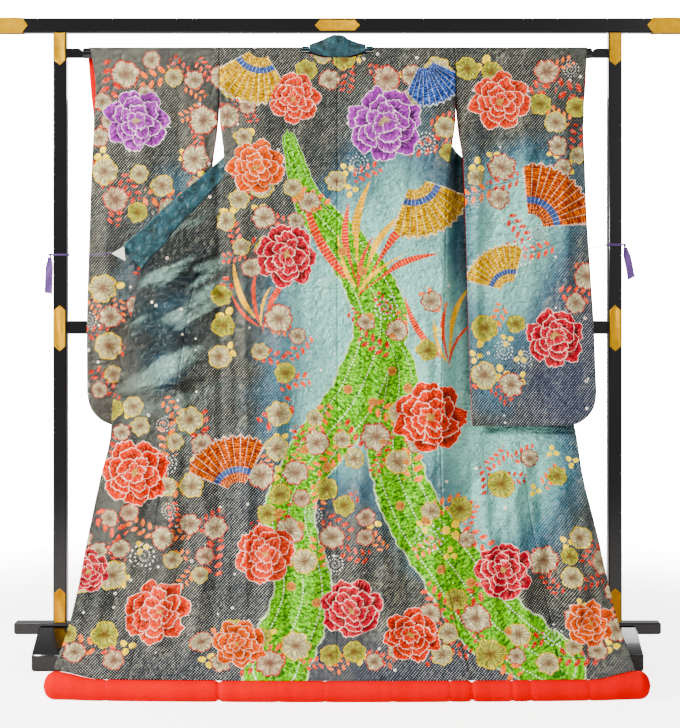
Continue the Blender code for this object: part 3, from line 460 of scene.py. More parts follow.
# The dyed design: where its motifs lie. Each row: across, up, radius, turn in degrees, kind; metres.
# It is a generic scatter of garden flowers, fans, reeds and a stream, laid out for this part.
# Kinds of large motif: 0 purple, 1 crimson, 2 vermilion, 3 salmon and 4 orange flowers; 5 gold, 6 orange
# and 7 blue fans
largeMotifs = {
    "body": [
        (-0.225, 1.375, 0.088, 20, 4),
        (0.130, 1.500, 0.120, 0, 0),
        (-0.120, 1.570, 0.082, 40, 3),
        (-0.140, 1.130, 0.098, 10, 1),
        (0.255, 0.690, 0.108, 0, 2),
        (0.035, 0.215, 0.090, 60, 1),
        (-0.190, 0.345, 0.092, 15, 3),
        (-0.545, 0.545, 0.104, 30, 2),
        (-0.470, 0.205, 0.096, 70, 3),
        (0.440, 0.300, 0.088, 10, 1),
        (0.655, 0.175, 0.072, 0, 4),
        (-0.235, 1.640, 0.100, 165, 5),
        (0.262, 1.620, 0.082, 200, 7),
        (0.245, 1.275, 0.104, 205, 5),
        (-0.290, 0.560, 0.098, 20, 6),
        (0.190, 0.150, 0.082, 45, 2),
        (-0.255, 0.135, 0.076, 80, 4),
        (-0.655, 0.300, 0.066, 15, 1),
    ],
    "left": [(-0.560, 1.505, 0.100, 0, 0)],
    "right": [
        (0.455, 1.560, 0.094, 30, 3),
        (0.600, 0.905, 0.092, 0, 1),
        (0.590, 1.275, 0.110, -40, 6),
        (0.450, 1.085, 0.080, 30, 5),
    ],
    "leftBehind": [(-0.540, 1.300, 0.095, 0, 1), (-0.450, 0.900, 0.090, 40, 2)],
    "rightBehind": [(0.520, 1.380, 0.098, 0, 0), (0.560, 0.900, 0.085, 30, 4)],
}
# Clusters of small motifs: across, up, half width, half height, how many roundels, how many sprays
clusters = {
    "body": [
        (-0.29, 1.52, 0.050, 0.090, 6, 3),
        (-0.24, 1.21, 0.072, 0.125, 9, 5),
        (-0.31, 0.93, 0.020, 0.110, 3, 3),
        (0.28, 1.46, 0.050, 0.055, 4, 2),
        (-0.02, 1.66, 0.100, 0.040, 6, 4),
        (0.03, 1.36, 0.060, 0.050, 3, 3),
        (0.14, 0.62, 0.110, 0.092, 9, 6),
        (-0.10, 0.60, 0.120, 0.130, 12, 8),
        (-0.05, 0.40, 0.160, 0.100, 14, 9),
        (-0.60, 0.68, 0.070, 0.070, 9, 5),
        (-0.43, 0.58, 0.075, 0.148, 12, 6),
        (-0.62, 0.36, 0.110, 0.120, 16, 8),
        (-0.38, 0.36, 0.092, 0.105, 12, 5),
        (-0.62, 0.13, 0.100, 0.055, 10, 5),
        (-0.25, 0.12, 0.154, 0.056, 12, 6),
        (0.30, 0.40, 0.082, 0.074, 6, 6),
        (0.62, 0.32, 0.093, 0.082, 8, 5),
        (0.50, 0.12, 0.159, 0.042, 10, 6),
        (0.52, 0.55, 0.130, 0.074, 3, 5),
        (0.12, 0.95, 0.069, 0.069, 3, 3),
        (0.22, 0.14, 0.100, 0.049, 6, 5),
        (0.24, 0.95, 0.050, 0.090, 2, 4),
        (0.00, 0.10, 0.110, 0.030, 5, 3),
        (-0.16, 0.85, 0.060, 0.120, 4, 5),
        (0.32, 0.20, 0.080, 0.080, 7, 4),
        (0.68, 0.20, 0.070, 0.110, 8, 4),
        (0.19, 1.62, 0.100, 0.060, 5, 4),
        (-0.10, 1.28, 0.050, 0.060, 3, 3),
    ],
    "left": [
        (-0.48, 1.63, 0.170, 0.055, 20, 7),
        (-0.66, 1.47, 0.025, 0.130, 4, 4),
        (-0.40, 1.42, 0.040, 0.120, 5, 4),
        (-0.55, 1.30, 0.120, 0.060, 8, 6),
        (-0.64, 0.90, 0.055, 0.180, 12, 8),
        (-0.46, 0.95, 0.120, 0.200, 12, 6),
    ],
    "right": [
        (0.62, 1.58, 0.060, 0.090, 8, 4),
        (0.40, 1.66, 0.050, 0.030, 4, 3),
        (0.64, 1.42, 0.040, 0.060, 4, 3),
        (0.42, 1.34, 0.050, 0.080, 6, 4),
        (0.52, 1.16, 0.060, 0.050, 3, 4),
        (0.45, 0.86, 0.070, 0.110, 6, 8),
        (0.67, 1.05, 0.030, 0.080, 2, 4),
    ],
    "leftBehind": [(-0.52, 1.15, 0.15, 0.50, 34, 16)],
    "rightBehind": [(0.53, 1.15, 0.15, 0.50, 30, 16)],
    "shoulder": [(-0.22, 1.62, 0.10, 0.10, 6, 3), (0.22, 1.62, 0.10, 0.10, 6, 3)],
}
# Sheaves of long curved reeds: foot across and up, how many, first and last turn, length
sheaves = [
    (0.050, 1.030, 9, 30, -62, 0.31),
    (-0.215, 0.930, 5, -30, 42, 0.20),
    (0.300, 0.830, 5, 34, -30, 0.22),
]
# A green stream with a branch: across, up, half width
streams = [
    [
        (-0.135, 1.455, 0.020),
        (-0.085, 1.290, 0.042),
        (0.040, 1.130, 0.066),
        (0.120, 0.950, 0.078),
        (0.060, 0.760, 0.080),
        (-0.060, 0.600, 0.072),
        (-0.130, 0.440, 0.068),
        (-0.090, 0.260, 0.080),
        (-0.160, 0.080, 0.090),
    ],
    [
        (0.110, 0.960, 0.020),
        (0.170, 0.800, 0.052),
        (0.150, 0.610, 0.072),
        (0.200, 0.450, 0.080),
        (0.310, 0.300, 0.092),
        (0.400, 0.180, 0.100),
        (0.560, 0.080, 0.080),
    ],
]
# Half width over half length of each kind of spray: red, orange and coral sprays, a yellow sprig, and red and
# yellow reeds
sprayAspects = (0.50, 0.50, 0.50, 0.90, 0.30, 0.30)


def clothRun(group, z):
    # Flat place down the cloth for a height: behind the rod it counts the other way.
    if group == "body":
        return runOf(z)
    straight = quarter + rodZ - z
    return -straight if group in ("shoulder", "leftBehind", "rightBehind") else straight


def scatterMotifs(group, seed):
    # The roundels and the sprays of one group, each kept clear of its own kind.
    rng = np.random.default_rng(seed)
    roundels, sprays = [], []
    for across, up, halfWide, halfHigh, roundCount, sprayCount in clusters.get(group, []):
        for rows, count, low, high in ((roundels, roundCount, 0.026, 0.046),
                                       (sprays, 4 * sprayCount, 0.038, 0.070)):
            made = 0
            for _ in range(count * 14):
                reach, angle = math.sqrt(rng.random()), 2 * math.pi * rng.random()
                x = across + halfWide * reach * math.cos(angle)
                run = clothRun(group, up) - halfHigh * reach * math.sin(angle)
                radius = low + (high - low) * rng.random() ** (1.0 if rows is roundels else 1.4)
                spacing = 0.93 if rows is roundels else 0.75
                if all(math.hypot(x - r[0], run - r[1]) > spacing * (radius + r[2]) for r in rows):
                    kind = rng.choice(5, p=(0.40, 0.26, 0.16, 0.10, 0.08))
                    if rows is sprays:
                        kind = rng.choice(4, p=(0.28, 0.24, 0.14, 0.34))
                        radius *= 0.55 if kind == 3 else 1.0
                    rows.append((x, run, radius, 360 * rng.random(), int(kind), rng.random()))
                    made += 1
                if made == count:
                    break
    return roundels, sprays


def reeds():
    # The sheaves' reeds as long sprays: each starts at its sheaf's foot and leans out.
    rows = []
    for across, up, count, first, last, length in sheaves:
        for i in range(count):
            turn = first + (last - first) * i / (count - 1)
            half = length * (0.5 - 0.10 * ((i * 2) % 3))
            angle = math.radians(turn)
            place = (across - half * math.sin(angle), runOf(up) - half * math.cos(angle))
            rows.append((*place, half, turn, 4 + i % 2, (i * 0.29) % 1))
    return rows


designs = {}


def design(group):
    # All the motifs of a group, in flat places on the cloth.
    if group not in designs:
        seed = sorted(clusters).index(group) + 11
        roundels, sprays = scatterMotifs(group, seed)
        large = [(x, clothRun(group, z), r, turn, kind, (i * 0.37) % 1)
                 for i, (x, z, r, turn, kind) in enumerate(largeMotifs.get(group, []))]
        if group == "body":
            sprays = reeds() + sprays
            rng = np.random.default_rng(5)
            for line in streams:
                for x, z, half in line[1:-1]:
                    for side in (-0.4, 0.45):
                        place = (x + side * half, runOf(z) + 0.05 * side + 0.02 * rng.random())
                        roundels.append((*place, 0.015, 360 * rng.random(), 5, rng.random()))
        designs[group] = {"large": large, "round": roundels, "spray": sprays}
    return designs[group]


def localPlace(points, row):
    # Places in a motif's own turned frame, with its radius as one.
    x, run, radius, turn = row[:4]
    angle = math.radians(turn)
    across, down = (points[:, 0] - x) / radius, (run - points[:, 1]) / radius
    return np.stack([across * math.cos(angle) + down * math.sin(angle),
                     down * math.cos(angle) - across * math.sin(angle)], axis=1)


def cornerMotifs(places, corners, faceOf, centres, rows, aspects=None):
    # For each face corner: its place in the motif that covers the face, and the motif's kind and seed.
    best = np.full(len(centres), 1.12)
    chosen = np.full(len(centres), -1)
    for i, row in enumerate(rows):
        near = np.nonzero(np.abs(centres - np.array(row[:2])).max(axis=1) < row[2] * 1.15)[0]
        if len(near):
            local = localPlace(centres[near], row)
            wide = aspects[row[4]] if aspects else 1.0
            far = np.hypot(local[:, 0] / wide, local[:, 1])
            closer = far < best[near]
            best[near[closer]] = far[closer]
            chosen[near[closer]] = i
    out = np.tile(np.array([9.0, 9.0, -1.0]), (len(corners), 1))
    motifOf = chosen[faceOf]
    for i in np.unique(chosen[chosen >= 0]):
        mine = np.nonzero(motifOf == i)[0]
        out[mine, :2] = localPlace(places[corners[mine]], rows[i])
        out[mine, 2] = rows[i][4] + 0.1 + 0.8 * rows[i][5]
    return out


def streamPlaces(places):
    # For each stream and point: how far along in metres, and across as a share of its half width.
    found = []
    for line in streams:
        line = np.array([(x, runOf(z), half) for x, z, half in line])
        steps = np.concatenate([[0], np.cumsum(np.hypot(*np.diff(line[:, :2], axis=0).T))])
        fine = np.linspace(0, steps[-1], 90)
        rows = dict(at=steps, x=line[:, 0], run=line[:, 1], half=line[:, 2])
        x, run, half = (smooth(rows, name, fine) for name in ("x", "run", "half"))
        best = np.full(len(places), 1e9)
        out = np.zeros((len(places), 2))
        for k in range(len(fine) - 1):
            start, step = np.array([x[k], run[k]]), np.array([x[k + 1] - x[k], run[k + 1] - run[k]])
            length = np.hypot(*step)
            t = np.clip((places - start) @ step / length**2, 0, 1)
            off = places - start - t[:, None] * step
            aside = np.hypot(off[:, 0], off[:, 1])
            side = np.sign(off[:, 0] * step[1] - off[:, 1] * step[0])
            closer = aside < best
            best[closer] = aside[closer]
            out[closer, 0] = (fine[k] + t * length)[closer]
            out[closer, 1] = (side * aside / (half[k] * (1 - t) + half[k + 1] * t))[closer]
        found.append(out)
    return found


toneNames = ("paleTone", "blueTone", "plainLameAndSheen")


def tone(group, x, run):
    # How pale the dyed ground is, how much it leans to slate blue, and where it is plain lame with painted
    # sheen.
    # across, down the cloth, half width, half height, weight
    pale = {
        "body": [(0.17, 0.62, 0.17, 0.34, 1.1), (0.02, 1.02, 0.20, 0.24, 0.9), (0.46, 1.18, 0.17, 0.20, 1.2),
                 (0.02, 0.60, 0.14, 0.16, 0.6), (0.28, 0.90, 0.10, 0.20, 0.7), (0.30, 1.40, 0.14, 0.10, 0.5),
                 (-0.12, 0.72, 0.12, 0.16, 0.35), (-0.48, 0.80, 0.10, 0.22, 0.22)],
        "left": [(-0.42, 0.50, 0.09, 0.18, 0.40), (-0.58, 0.62, 0.09, 0.16, 0.20)],
        "right": [(0.52, 0.45, 0.16, 0.16, 0.9), (0.46, 0.68, 0.13, 0.17, 0.9),
                  (0.42, 0.95, 0.08, 0.10, 0.4)],
    }.get(group, [])
    blue = {
        "body": [(0.10, 1.75, 0.60, 0.14, 0.6), (-0.20, 1.35, 0.20, 0.25, 0.35)],
        "right": [(0.66, 0.78, 0.09, 0.22, 0.8), (0.60, 0.98, 0.14, 0.14, 0.9)],
    }.get(group, [])
    plain = [(-0.46, 0.72, 0.15, 0.27, 1.5)] if group == "body" else []
    out = []
    for fields in (pale, blue, plain):
        total = np.zeros(len(x))
        for across, down, wide, high, weight in fields:
            total += weight * np.exp(-(((x - across) / wide) ** 2) - ((run - down) / high) ** 2)
        out.append(np.clip(total, 0, 1))
    return out


def store(mesh, name, kind, domain, values):
    # Stores a number or a vector for each of a mesh's points or face corners.
    field = "value" if kind == "FLOAT" else "vector"
    mesh.attributes.new(name, kind, domain).data.foreach_set(field, values.ravel())


def dress(thing, places, faces, outside, group):
    # Stores the cloth's flat places, its tones and the motifs that cover each face.
    mesh = thing.data
    flat = np.zeros((len(places), 3))
    flat[:, :2] = places
    store(mesh, "clothPlace", "FLOAT_VECTOR", "POINT", flat)
    if group is None:
        return
    for name, values in zip(toneNames, tone(group.replace("Behind", ""), *places.T)):
        store(mesh, name, "FLOAT", "POINT", values)
    corners = faces.ravel()
    faceOf = np.repeat(np.arange(len(faces)), faces.shape[1])
    centres = places[faces].mean(axis=1)
    spread = np.ptp(places[faces][:, :, 1], axis=1)
    centres[~outside | (spread > 0.05)] = 99.0
    groups = [group]
    if group in ("left", "right"):
        groups.append(group + "Behind")
    rows = {name: sum((design(g)[name] for g in groups), []) for name in ("large", "round", "spray")}
    for name, aspects in (("large", None), ("round", None), ("spray", sprayAspects)):
        values = cornerMotifs(places, corners, faceOf, centres, rows[name], aspects)
        store(mesh, name + "Motif", "FLOAT_VECTOR", "CORNER", values)
    values = np.tile(np.array([9.0, 9.0, -1.0]), (len(corners), 1))
    if group == "body":
        found = streamPlaces(places)
        middles = np.stack([np.abs(f[faces][:, :, 1]).mean(axis=1) for f in found])
        pick = middles.argmin(axis=0)
        covered = (middles.min(axis=0) < 1.4) & outside
        for i, f in enumerate(found):
            mine = np.nonzero((covered & (pick == i))[faceOf])[0]
            values[mine, :2] = f[corners[mine]]
            values[mine, 2] = i + 0.5
    store(mesh, "streamPlace", "FLOAT_VECTOR", "CORNER", values)


# A short way to write shaders: numbers that add nodes as they are worked out

def colour(code):
    # A hex colour as linear light.
    parts = [int(code[i:i + 2], 16) / 255 for i in (1, 3, 5)]
    return tuple(p / 12.92 if p <= 0.04045 else ((p + 0.055) / 1.055) ** 2.4 for p in parts) + (1.0,)


class Number:
    # A socket or a plain number in a shader, with arithmetic.

    def __init__(self, shade, value):
        self.shade = shade
        self.value = value

    def act(self, operation, *others):
        return self.shade.maths(operation, self, *others)

    def __add__(self, other):
        return self.act("ADD", other)

    def __sub__(self, other):
        return self.act("SUBTRACT", other)

    def __rsub__(self, other):
        return self.shade.maths("SUBTRACT", other, self)

    def __mul__(self, other):
        return self.act("MULTIPLY", other)

    def __truediv__(self, other):
        return self.act("DIVIDE", other)

    def __pow__(self, other):
        return self.act("POWER", other)

    def __abs__(self):
        return self.act("ABSOLUTE")

    __radd__ = __add__
    __rmul__ = __mul__


class Shade:
    # Adds nodes to one material and returns their outputs.

    def __init__(self, name):
        self.material = bpy.data.materials.new(name)
        self.material.use_nodes = True
        self.tree = self.material.node_tree
        self.surface = self.tree.nodes["Principled BSDF"]

    def node(self, kind, inputs=None, **settings):
        made = self.tree.nodes.new(kind)
        for name, value in settings.items():
            setattr(made, name, value)
        for name, value in (inputs or {}).items():
            self.plug(made.inputs[name], value)
        return made

    def plug(self, socket, value):
        value = value.value if isinstance(value, Number) else value
        if isinstance(value, bpy.types.NodeSocket):
            self.tree.links.new(value, socket)
        else:
            socket.default_value = value

    def maths(self, operation, *values):
        made = self.node("ShaderNodeMath", dict(enumerate(values)), operation=operation)
        return Number(self, made.outputs[0])

    def step(self, low, high, value):
        # 0 below low, 1 above high, smooth between; either way round.
        made = self.node("ShaderNodeMapRange", {0: value, 1: low, 2: high}, interpolation_type="SMOOTHSTEP")
        return Number(self, made.outputs[0])

    def attribute(self, name):
        return self.node("ShaderNodeAttribute", attribute_name=name)

    def objectPlace(self):
        return self.node("ShaderNodeTexCoord").outputs["Object"]

    def split(self, vector):
        outputs = self.node("ShaderNodeSeparateXYZ", {0: vector}).outputs
        return [Number(self, socket) for socket in outputs]

    def vector(self, x, y, z=0.0):
        return self.node("ShaderNodeCombineXYZ", {0: x, 1: y, 2: z}).outputs[0]

    def noise(self, vector, scale, detail=2.0, roughness=0.5):
        made = self.node("ShaderNodeTexNoise", {"Vector": vector, "Scale": scale, "Detail": detail,
                                                "Roughness": roughness})
        return Number(self, made.outputs[0])

    def mix(self, share, first, second):
        # A blend of two colours, each a hex code or a socket.
        made = self.node("ShaderNodeMix", data_type="RGBA")
        for index, value in ((0, share), (6, first), (7, second)):
            self.plug(made.inputs[index], colour(value) if isinstance(value, str) else value)
        return made.outputs[2]

    def pick(self, kind, codes):
        # One of several colours, by a whole number.
        made = self.node("ShaderNodeValToRGB", {0: (kind + 0.5) / len(codes)})
        ramp = made.color_ramp
        ramp.interpolation = "CONSTANT"
        for i, code in enumerate(codes):
            stop = ramp.elements[i] if i < 2 else ramp.elements.new(i / len(codes))
            stop.position = i / len(codes)
            stop.color = colour(code)
        return made.outputs[0]

    def finish(self, base, roughness, height=None, reach=0.001, strength=1.0, **settings):
        self.plug(self.surface.inputs["Base Color"], base)
        self.plug(self.surface.inputs["Roughness"], roughness)
        for name, value in settings.items():
            self.plug(self.surface.inputs[name.replace("_", " ")], value)
        if height is not None:
            bump = self.node("ShaderNodeBump", {"Height": height, "Distance": reach, "Strength": strength})
            self.plug(self.surface.inputs["Normal"], bump.outputs[0])
        return self.material


# Silk satin dyed by tying: each motif is outlined by undyed stitch marks and crinkled from its middle
satin = {
    "dark": "#031c2a",
    "mid": "#105a74",
    "pale": "#84c4b8",
    "slate": "#16315c",
    "dot": "#eee6ca",
    "stitch": "#fbf3df",
    "dotPitch": 0.0080,
    "roughness": 0.32,
}
# The motifs' silks, a colour for each kind: petals and fans from deep to light, roundels with their
# creases and rims, and sprays and reeds
silks = {
    "deep": ("#40084e", "#4c000c", "#780400", "#8c1206", "#942400", "#a87400", "#8c2800", "#0c286c"),
    "light": ("#b840c0", "#e00838", "#f83404", "#fa4a2c", "#ff640c", "#ffdc20", "#ff8408", "#5890ec"),
    "round": ("#f0e2b4", "#ece0a8", "#ccc85c", "#f0d4ac", "#16303a", "#e0204c"),
    "grain": ("#3c1c14", "#3a2414", "#2c3c08", "#4c1c12", "#16303a", "#ffe24c"),
    "rim": ("#c01420", "#ecc81c", "#e4c428", "#d02c24", "#f0eee2", "#f8e060"),
    "spray": ("#c80800", "#fa6c00", "#f03008", "#ffd800", "#e02c00", "#f8b800"),
}


def polar(s, u, v):
    radius = (u * u + v * v) ** 0.5
    return radius, s.maths("ARCTAN2", v, u)


def fraction(value):
    return value.act("FRACT")


def motif(s, name):
    # A motif's place, kind and seed from the face corners, and 1 where there is one.
    u, v, code = s.split(s.attribute(name).outputs["Vector"])
    return u, v, code.act("FLOOR"), fraction(code), s.step(-0.6, -0.4, code)


def roundNoise(s, angle, reach, depth, scale, detail):
    # Noise that runs round a circle with no seam.
    around = s.vector(s.maths("COSINE", angle) * reach, s.maths("SINE", angle) * reach, depth)
    return s.noise(around, scale, detail)


def petalRing(radius, angle, count, turn, reach, dip, ripple):
    # How far inside one ring of petals a place is, and its distance from the nearest petal's middle.
    petal = abs(fraction(angle * (count / (2 * math.pi)) + turn) - 0.5) * 2
    edge = (1 - petal ** 2.6 * dip) * reach + ripple
    return edge - radius, petal


def largeLayer(s):
    # Double flowers of four rings of petals, and fans: their colour and cover.
    u, v, kind, seed, shown = motif(s, "largeMotif")
    shift = s.vector(u * 1.7 + seed * 37.0, v * 1.7, seed * 11.0)
    bend = s.noise(shift, 1.0, 1.5) - 0.5
    bend2 = s.noise(s.vector(v * 1.6 + seed * 19.0, u * 1.6, 4.0), 1.0, 1.5) - 0.5
    u2, v2 = u + bend * 0.46, v + bend2 * 0.46
    radius, angle = polar(s, u2, v2)
    ripple = (roundNoise(s, angle, 3, seed * 23.0 + radius, 2.0, 1.0) - 0.5) * 0.17
    shade = Number(s, 0.0)
    outline = Number(s, 0.0)
    cover = Number(s, 0.0)
    rings = ((7, 0.10, 0.90, 0.17), (6, 0.55, 0.70, 0.20), (5, 0.20, 0.50, 0.24), (4, 0.75, 0.30, 0.24))
    for count, turn, reach, dip in rings:
        inside, petal = petalRing(radius, angle, count, seed * 3.0 + turn, reach, dip, ripple)
        within = s.step(0.0, 0.008, inside)
        depth = s.step(0.30, 0.02, inside)
        crease = s.step(0.93, 0.99, petal) * s.step(0.30, 0.10, inside)
        line = s.maths("MAXIMUM", s.step(0.040, 0.022, inside), crease)
        shade = shade * (1 - within) + depth * within
        outline = outline * (1 - within) + line * within
        cover = s.maths("MAXIMUM", cover, within)
    streaks = roundNoise(s, angle, 9, radius * 2.2, 3.2, 2.0)
    flecks = s.step(0.56, 0.70, streaks)
    dashes = s.step(0.43, 0.49, s.noise(s.vector(u, v, 3.0), 40.0, 0.0))
    deep, light = s.pick(kind, silks["deep"]), s.pick(kind, silks["light"])
    petals = s.mix(0.02 + shade * 0.78 + (streaks - 0.5) * 1.9, deep, light)
    petals = s.mix(flecks * 0.20, petals, "#ffdcb8")
    heart = s.step(0.13, 0.06, radius) * s.step(4.5, 4.4, kind)
    petals = s.mix(heart * s.step(0.45, 0.6, streaks), petals, "#ecd26a")
    outline = outline * (0.45 + dashes * 0.55)
    # Fans: a sector about a pivot below the motif's middle
    pivot = v + 0.80
    reach, spread = (u * u + pivot * pivot) ** 0.5 / 1.70, s.maths("ARCTAN2", u, pivot)
    ribs = fraction(spread * 7.0)
    tips = abs(ribs - 0.5) * 0.12
    fanIn = s.step(1.02, 1.0, reach + tips) * s.step(0.20, 0.215, reach) * s.step(0.83, 0.815, abs(spread))
    ribLine = s.step(0.09, 0.04, abs(ribs - 0.5)) * 0.7
    rim = s.maths("MAXIMUM", s.step(0.975, 0.99, reach + tips), s.step(0.79, 0.805, abs(spread)))
    border = s.step(0.36, 0.37, reach) * s.step(0.47, 0.46, reach)
    weave = s.step(0.48, 0.62, s.noise(s.vector(spread * 6.0, reach * 60.0, 1.0), 1.0, 1.0))
    fanColour = s.mix(weave * 0.8, deep, light)
    fanColour = s.mix(border, fanColour, "#31508c")
    fanLines = s.maths("MAXIMUM", ribLine, rim)
    isFan = s.step(4.4, 4.6, kind)
    paint = s.mix(isFan, petals, fanColour)
    lines = outline * (1 - isFan) + fanLines * isFan * dashes
    cover = (cover * (1 - isFan) + fanIn * isFan) * shown
    return s.mix(lines * 0.9, paint, satin["stitch"]), cover


def roundLayer(s):
    # Tied roundels, cream with radiating creases and a dashed rim: their colour, cover and height.
    u, v, kind, seed, shown = motif(s, "roundMotif")
    radius, angle = polar(s, u, v)
    wave = roundNoise(s, angle, 1, seed * 31.0, 1.6, 1.0) - 0.5
    petal = abs(fraction(angle * (7 / (2 * math.pi)) + seed) - 0.5) * 2
    edge = 0.93 - petal ** 2.0 * 0.10 + wave * 0.42
    inside = edge - radius
    cover = s.step(0.0, 0.02, inside)
    rays = s.step(0.40, 0.60, roundNoise(s, angle, 5, seed * 9.0 + radius * 0.7, 3.0, 2.0))
    heart = s.step(0.55, 0.0, radius)
    paint = s.mix(rays * 0.70, s.pick(kind, silks["round"]), s.pick(kind, silks["grain"]))
    paint = s.mix(heart * s.step(4.4, 3.4, kind) * 0.6, paint, "#8c3c30")
    rimDash = s.step(0.44, 0.52, roundNoise(s, angle, 7, seed, 2.6, 0.0))
    rim = s.step(0.16, 0.11, inside) * (0.35 + rimDash * 0.65)
    paint = s.mix(rim, paint, s.pick(kind, silks["rim"]))
    paint = s.mix(s.step(0.05, 0.01, inside), paint, "#0c1c24")
    # The white spiral of dots on the dark ground
    coil = fraction(radius * 3.2 - angle * (1 / (2 * math.pi)))
    gaps = s.step(-0.1, 0.3, s.maths("SINE", angle * 14.0 + radius * 9.0))
    beads = s.step(0.26, 0.16, abs(coil - 0.5)) * gaps
    isCoil = s.step(3.4, 3.6, kind) * s.step(4.6, 4.4, kind)
    paint = s.mix(isCoil * beads, paint, "#eceadf")
    cover = cover * shown * (1 - isCoil * (1 - beads))
    return paint, cover, cover * (0.8 - radius * 0.5 + rays * -0.7)


def sprayLayer(s):
    # Sprays of paired leaves, sprigs of three leaves, and long tapering reeds: their colour and cover.
    u, v, kind, seed, shown = motif(s, "sprayMotif")
    bent = u - (v * v - 0.3) * 0.12
    side = bent.act("SIGN")
    cell = (fraction(v * 2.4 + side * 0.24 + seed) - 0.5) / 2.4
    apart = abs(bent) - 0.25
    leaf = ((apart / 0.19) ** 2.0 + ((cell - (apart * 0.45)) / 0.125) ** 2.0)
    leaves = s.step(1.0, 0.85, leaf) * s.step(0.90, 0.86, abs(v))
    stem = s.step(0.030, 0.018, abs(bent)) * s.step(0.92, 0.90, abs(v))
    radius, angle = polar(s, u, v)
    blade = (fraction(angle * (3 / (2 * math.pi)) + seed) - 0.5) * radius * 2.1
    sprig = s.step(1.0, 0.88, ((radius - 0.55) / 0.38) ** 2.0 + (blade / 0.34) ** 2.0)
    taper = s.maths("MAXIMUM", 1 - v * v, 0.0) ** 0.8 * 0.075
    reed = s.step(0.012, 0.0, abs(u - (v * v - 0.5) * 0.20) - taper)
    isSprig = s.step(2.4, 2.6, kind) * s.step(3.6, 3.4, kind)
    isReed = s.step(3.4, 3.6, kind)
    plain = 1 - isSprig - isReed
    stitches = s.step(0.50, 0.60, s.noise(s.vector(u, v, seed * 7.0), 14.0, 0.0))
    ribs = s.step(0.35, 0.6, s.maths("SINE", v * 90.0))
    threads = stitches * 0.20 * (1 - isReed) + ribs * isReed * 0.22
    paint = s.mix(threads, s.pick(kind, silks["spray"]), "#fff0c8")
    paint = s.mix(stem * plain, paint, "#39505a")
    cover = s.maths("MAXIMUM", leaves, stem * 0.8) * plain + sprig * isSprig + reed * isReed
    return paint, cover * shown


def streamLayer(s, place):
    # The green streams, crinkled, with dashed lines along them: their colour and cover.
    along, across, code = s.split(s.attribute("streamPlace").outputs["Vector"])
    wobble = (s.noise(place, 26.0, 2.0) - 0.5) * 0.34
    aside = abs(across) + wobble
    cover = s.step(1.0, 0.96, aside) * s.step(-0.6, -0.4, code)
    crinkle = s.noise(s.vector(along * 2.2, across * 0.07, 1.0), 60.0, 3.0, 0.65)
    fleck = s.noise(place, 120.0, 2.0, 0.7)
    paint = s.mix(s.step(0.36, 0.60, crinkle), "#1c6c0a", "#78d010")
    paint = s.mix(s.step(0.54, 0.74, fleck) * 0.7, paint, "#d0f074")
    paint = s.mix(s.step(0.50, 0.34, fleck) * 0.75, paint, "#0c4408")
    dashes = s.step(-0.2, 0.2, s.maths("SINE", along * 700.0))
    ribs = s.step(0.035, 0.015, abs(fraction(across * 1.6 + 0.5) - 0.5) / 1.6)
    rim = s.step(0.90, 0.95, aside)
    lines = s.maths("MAXIMUM", ribs * dashes, rim * 0.75)
    return s.mix(lines * 0.8, paint, "#eef0cf"), cover


def groundLayer(s, place):
    # The dyed ground, dark teal to pale aqua, with small tied dots in slanting rows, and painted sheen,
    # glints and shade: its colour and height.
    x, y = s.split(place)[:2]
    pale, blue, plain = (Number(s, s.attribute(name).outputs["Fac"]) for name in toneNames)
    drift = s.noise(place, 9.0, 3.0) - 0.5
    level = s.maths("MAXIMUM", s.maths("MINIMUM", pale + drift * 0.45, 1.0), 0.0)
    paint = s.mix(s.step(0.05, 0.5, level), satin["dark"], satin["mid"])
    paint = s.mix(s.step(0.35, 0.95, level), paint, satin["pale"])
    paint = s.mix(blue * 0.7, paint, satin["slate"])
    # Painted sheen streaks on the plain lame: pale ones are painted highlights, dark ones painted shade
    paintedSheen = s.noise(s.vector(x * 9.0 + y * 14.0, y * 2.0 - x * 3.0), 1.0, 3.0)
    paint = s.mix(plain * s.step(0.50, 0.66, paintedSheen) * 0.60, paint, "#9cc0b4")
    paint = s.mix(plain * s.step(0.50, 0.34, paintedSheen) * 0.55, paint, "#081c24")
    pitch = satin["dotPitch"]
    cellX = fraction((x + y * 0.8) / pitch) - 0.5
    cellY = fraction((y * 1.2 - x) / pitch) - 0.5
    reach = (cellX * cellX + cellY * cellY) ** 0.5
    ring = s.step(0.30, 0.20, reach)
    patch = s.step(0.36, 0.56, s.noise(place, 7.0, 2.0))
    amount = (0.22 + (1 - level) * 0.55) * (0.60 + patch * 0.40) * (1 - plain * 0.70)
    # Crinkles: painted shade in their troughs, painted glints on their crests, and the tied dots brighter on
    # the crests
    crinkle = s.noise(s.vector(x * 1.0 + y * 0.5, y * 0.7, 2.0), 95.0, 2.0, 0.6)
    paint = s.mix(s.step(0.47, 0.28, crinkle) * 0.40, paint, "#06202c")
    paint = s.mix(ring * amount * (0.55 + s.step(0.35, 0.60, crinkle) * 0.45), paint, satin["dot"])
    paint = s.mix(s.step(0.56, 0.74, crinkle) * 0.07, paint, "#e2e4c4")
    # Painted sheen bands: cream painted highlights where they meet crinkle crests, and dark painted shade in
    # their low parts
    paintedSheenBands = s.noise(s.vector(x * 9.0 + y * 5.0, y * 1.8 - x * 1.2, 6.0), 1.0, 3.0, 0.6)
    paint = s.mix(s.step(0.52, 0.72, paintedSheenBands) * s.step(0.38, 0.62, crinkle) * 0.16, paint, "#f0ecc8")
    paint = s.mix(s.step(0.46, 0.30, paintedSheenBands) * 0.35, paint, "#031c2a")
    scatter = s.node("ShaderNodeTexVoronoi", {"Vector": place, "Scale": 26.0, "Randomness": 1.0})
    spot = Number(s, scatter.outputs["Distance"])
    shade = s.split(scatter.outputs["Color"])[0]
    chosen = s.step(0.60, 0.62, shade)
    paint = s.mix(s.step(0.13, 0.10, spot) * chosen, paint, satin["stitch"])
    paint = s.mix(s.step(0.065, 0.045, spot) * chosen, paint, "#b8452f")
    return paint, ring * 0.35 * (1 - level * 0.6)


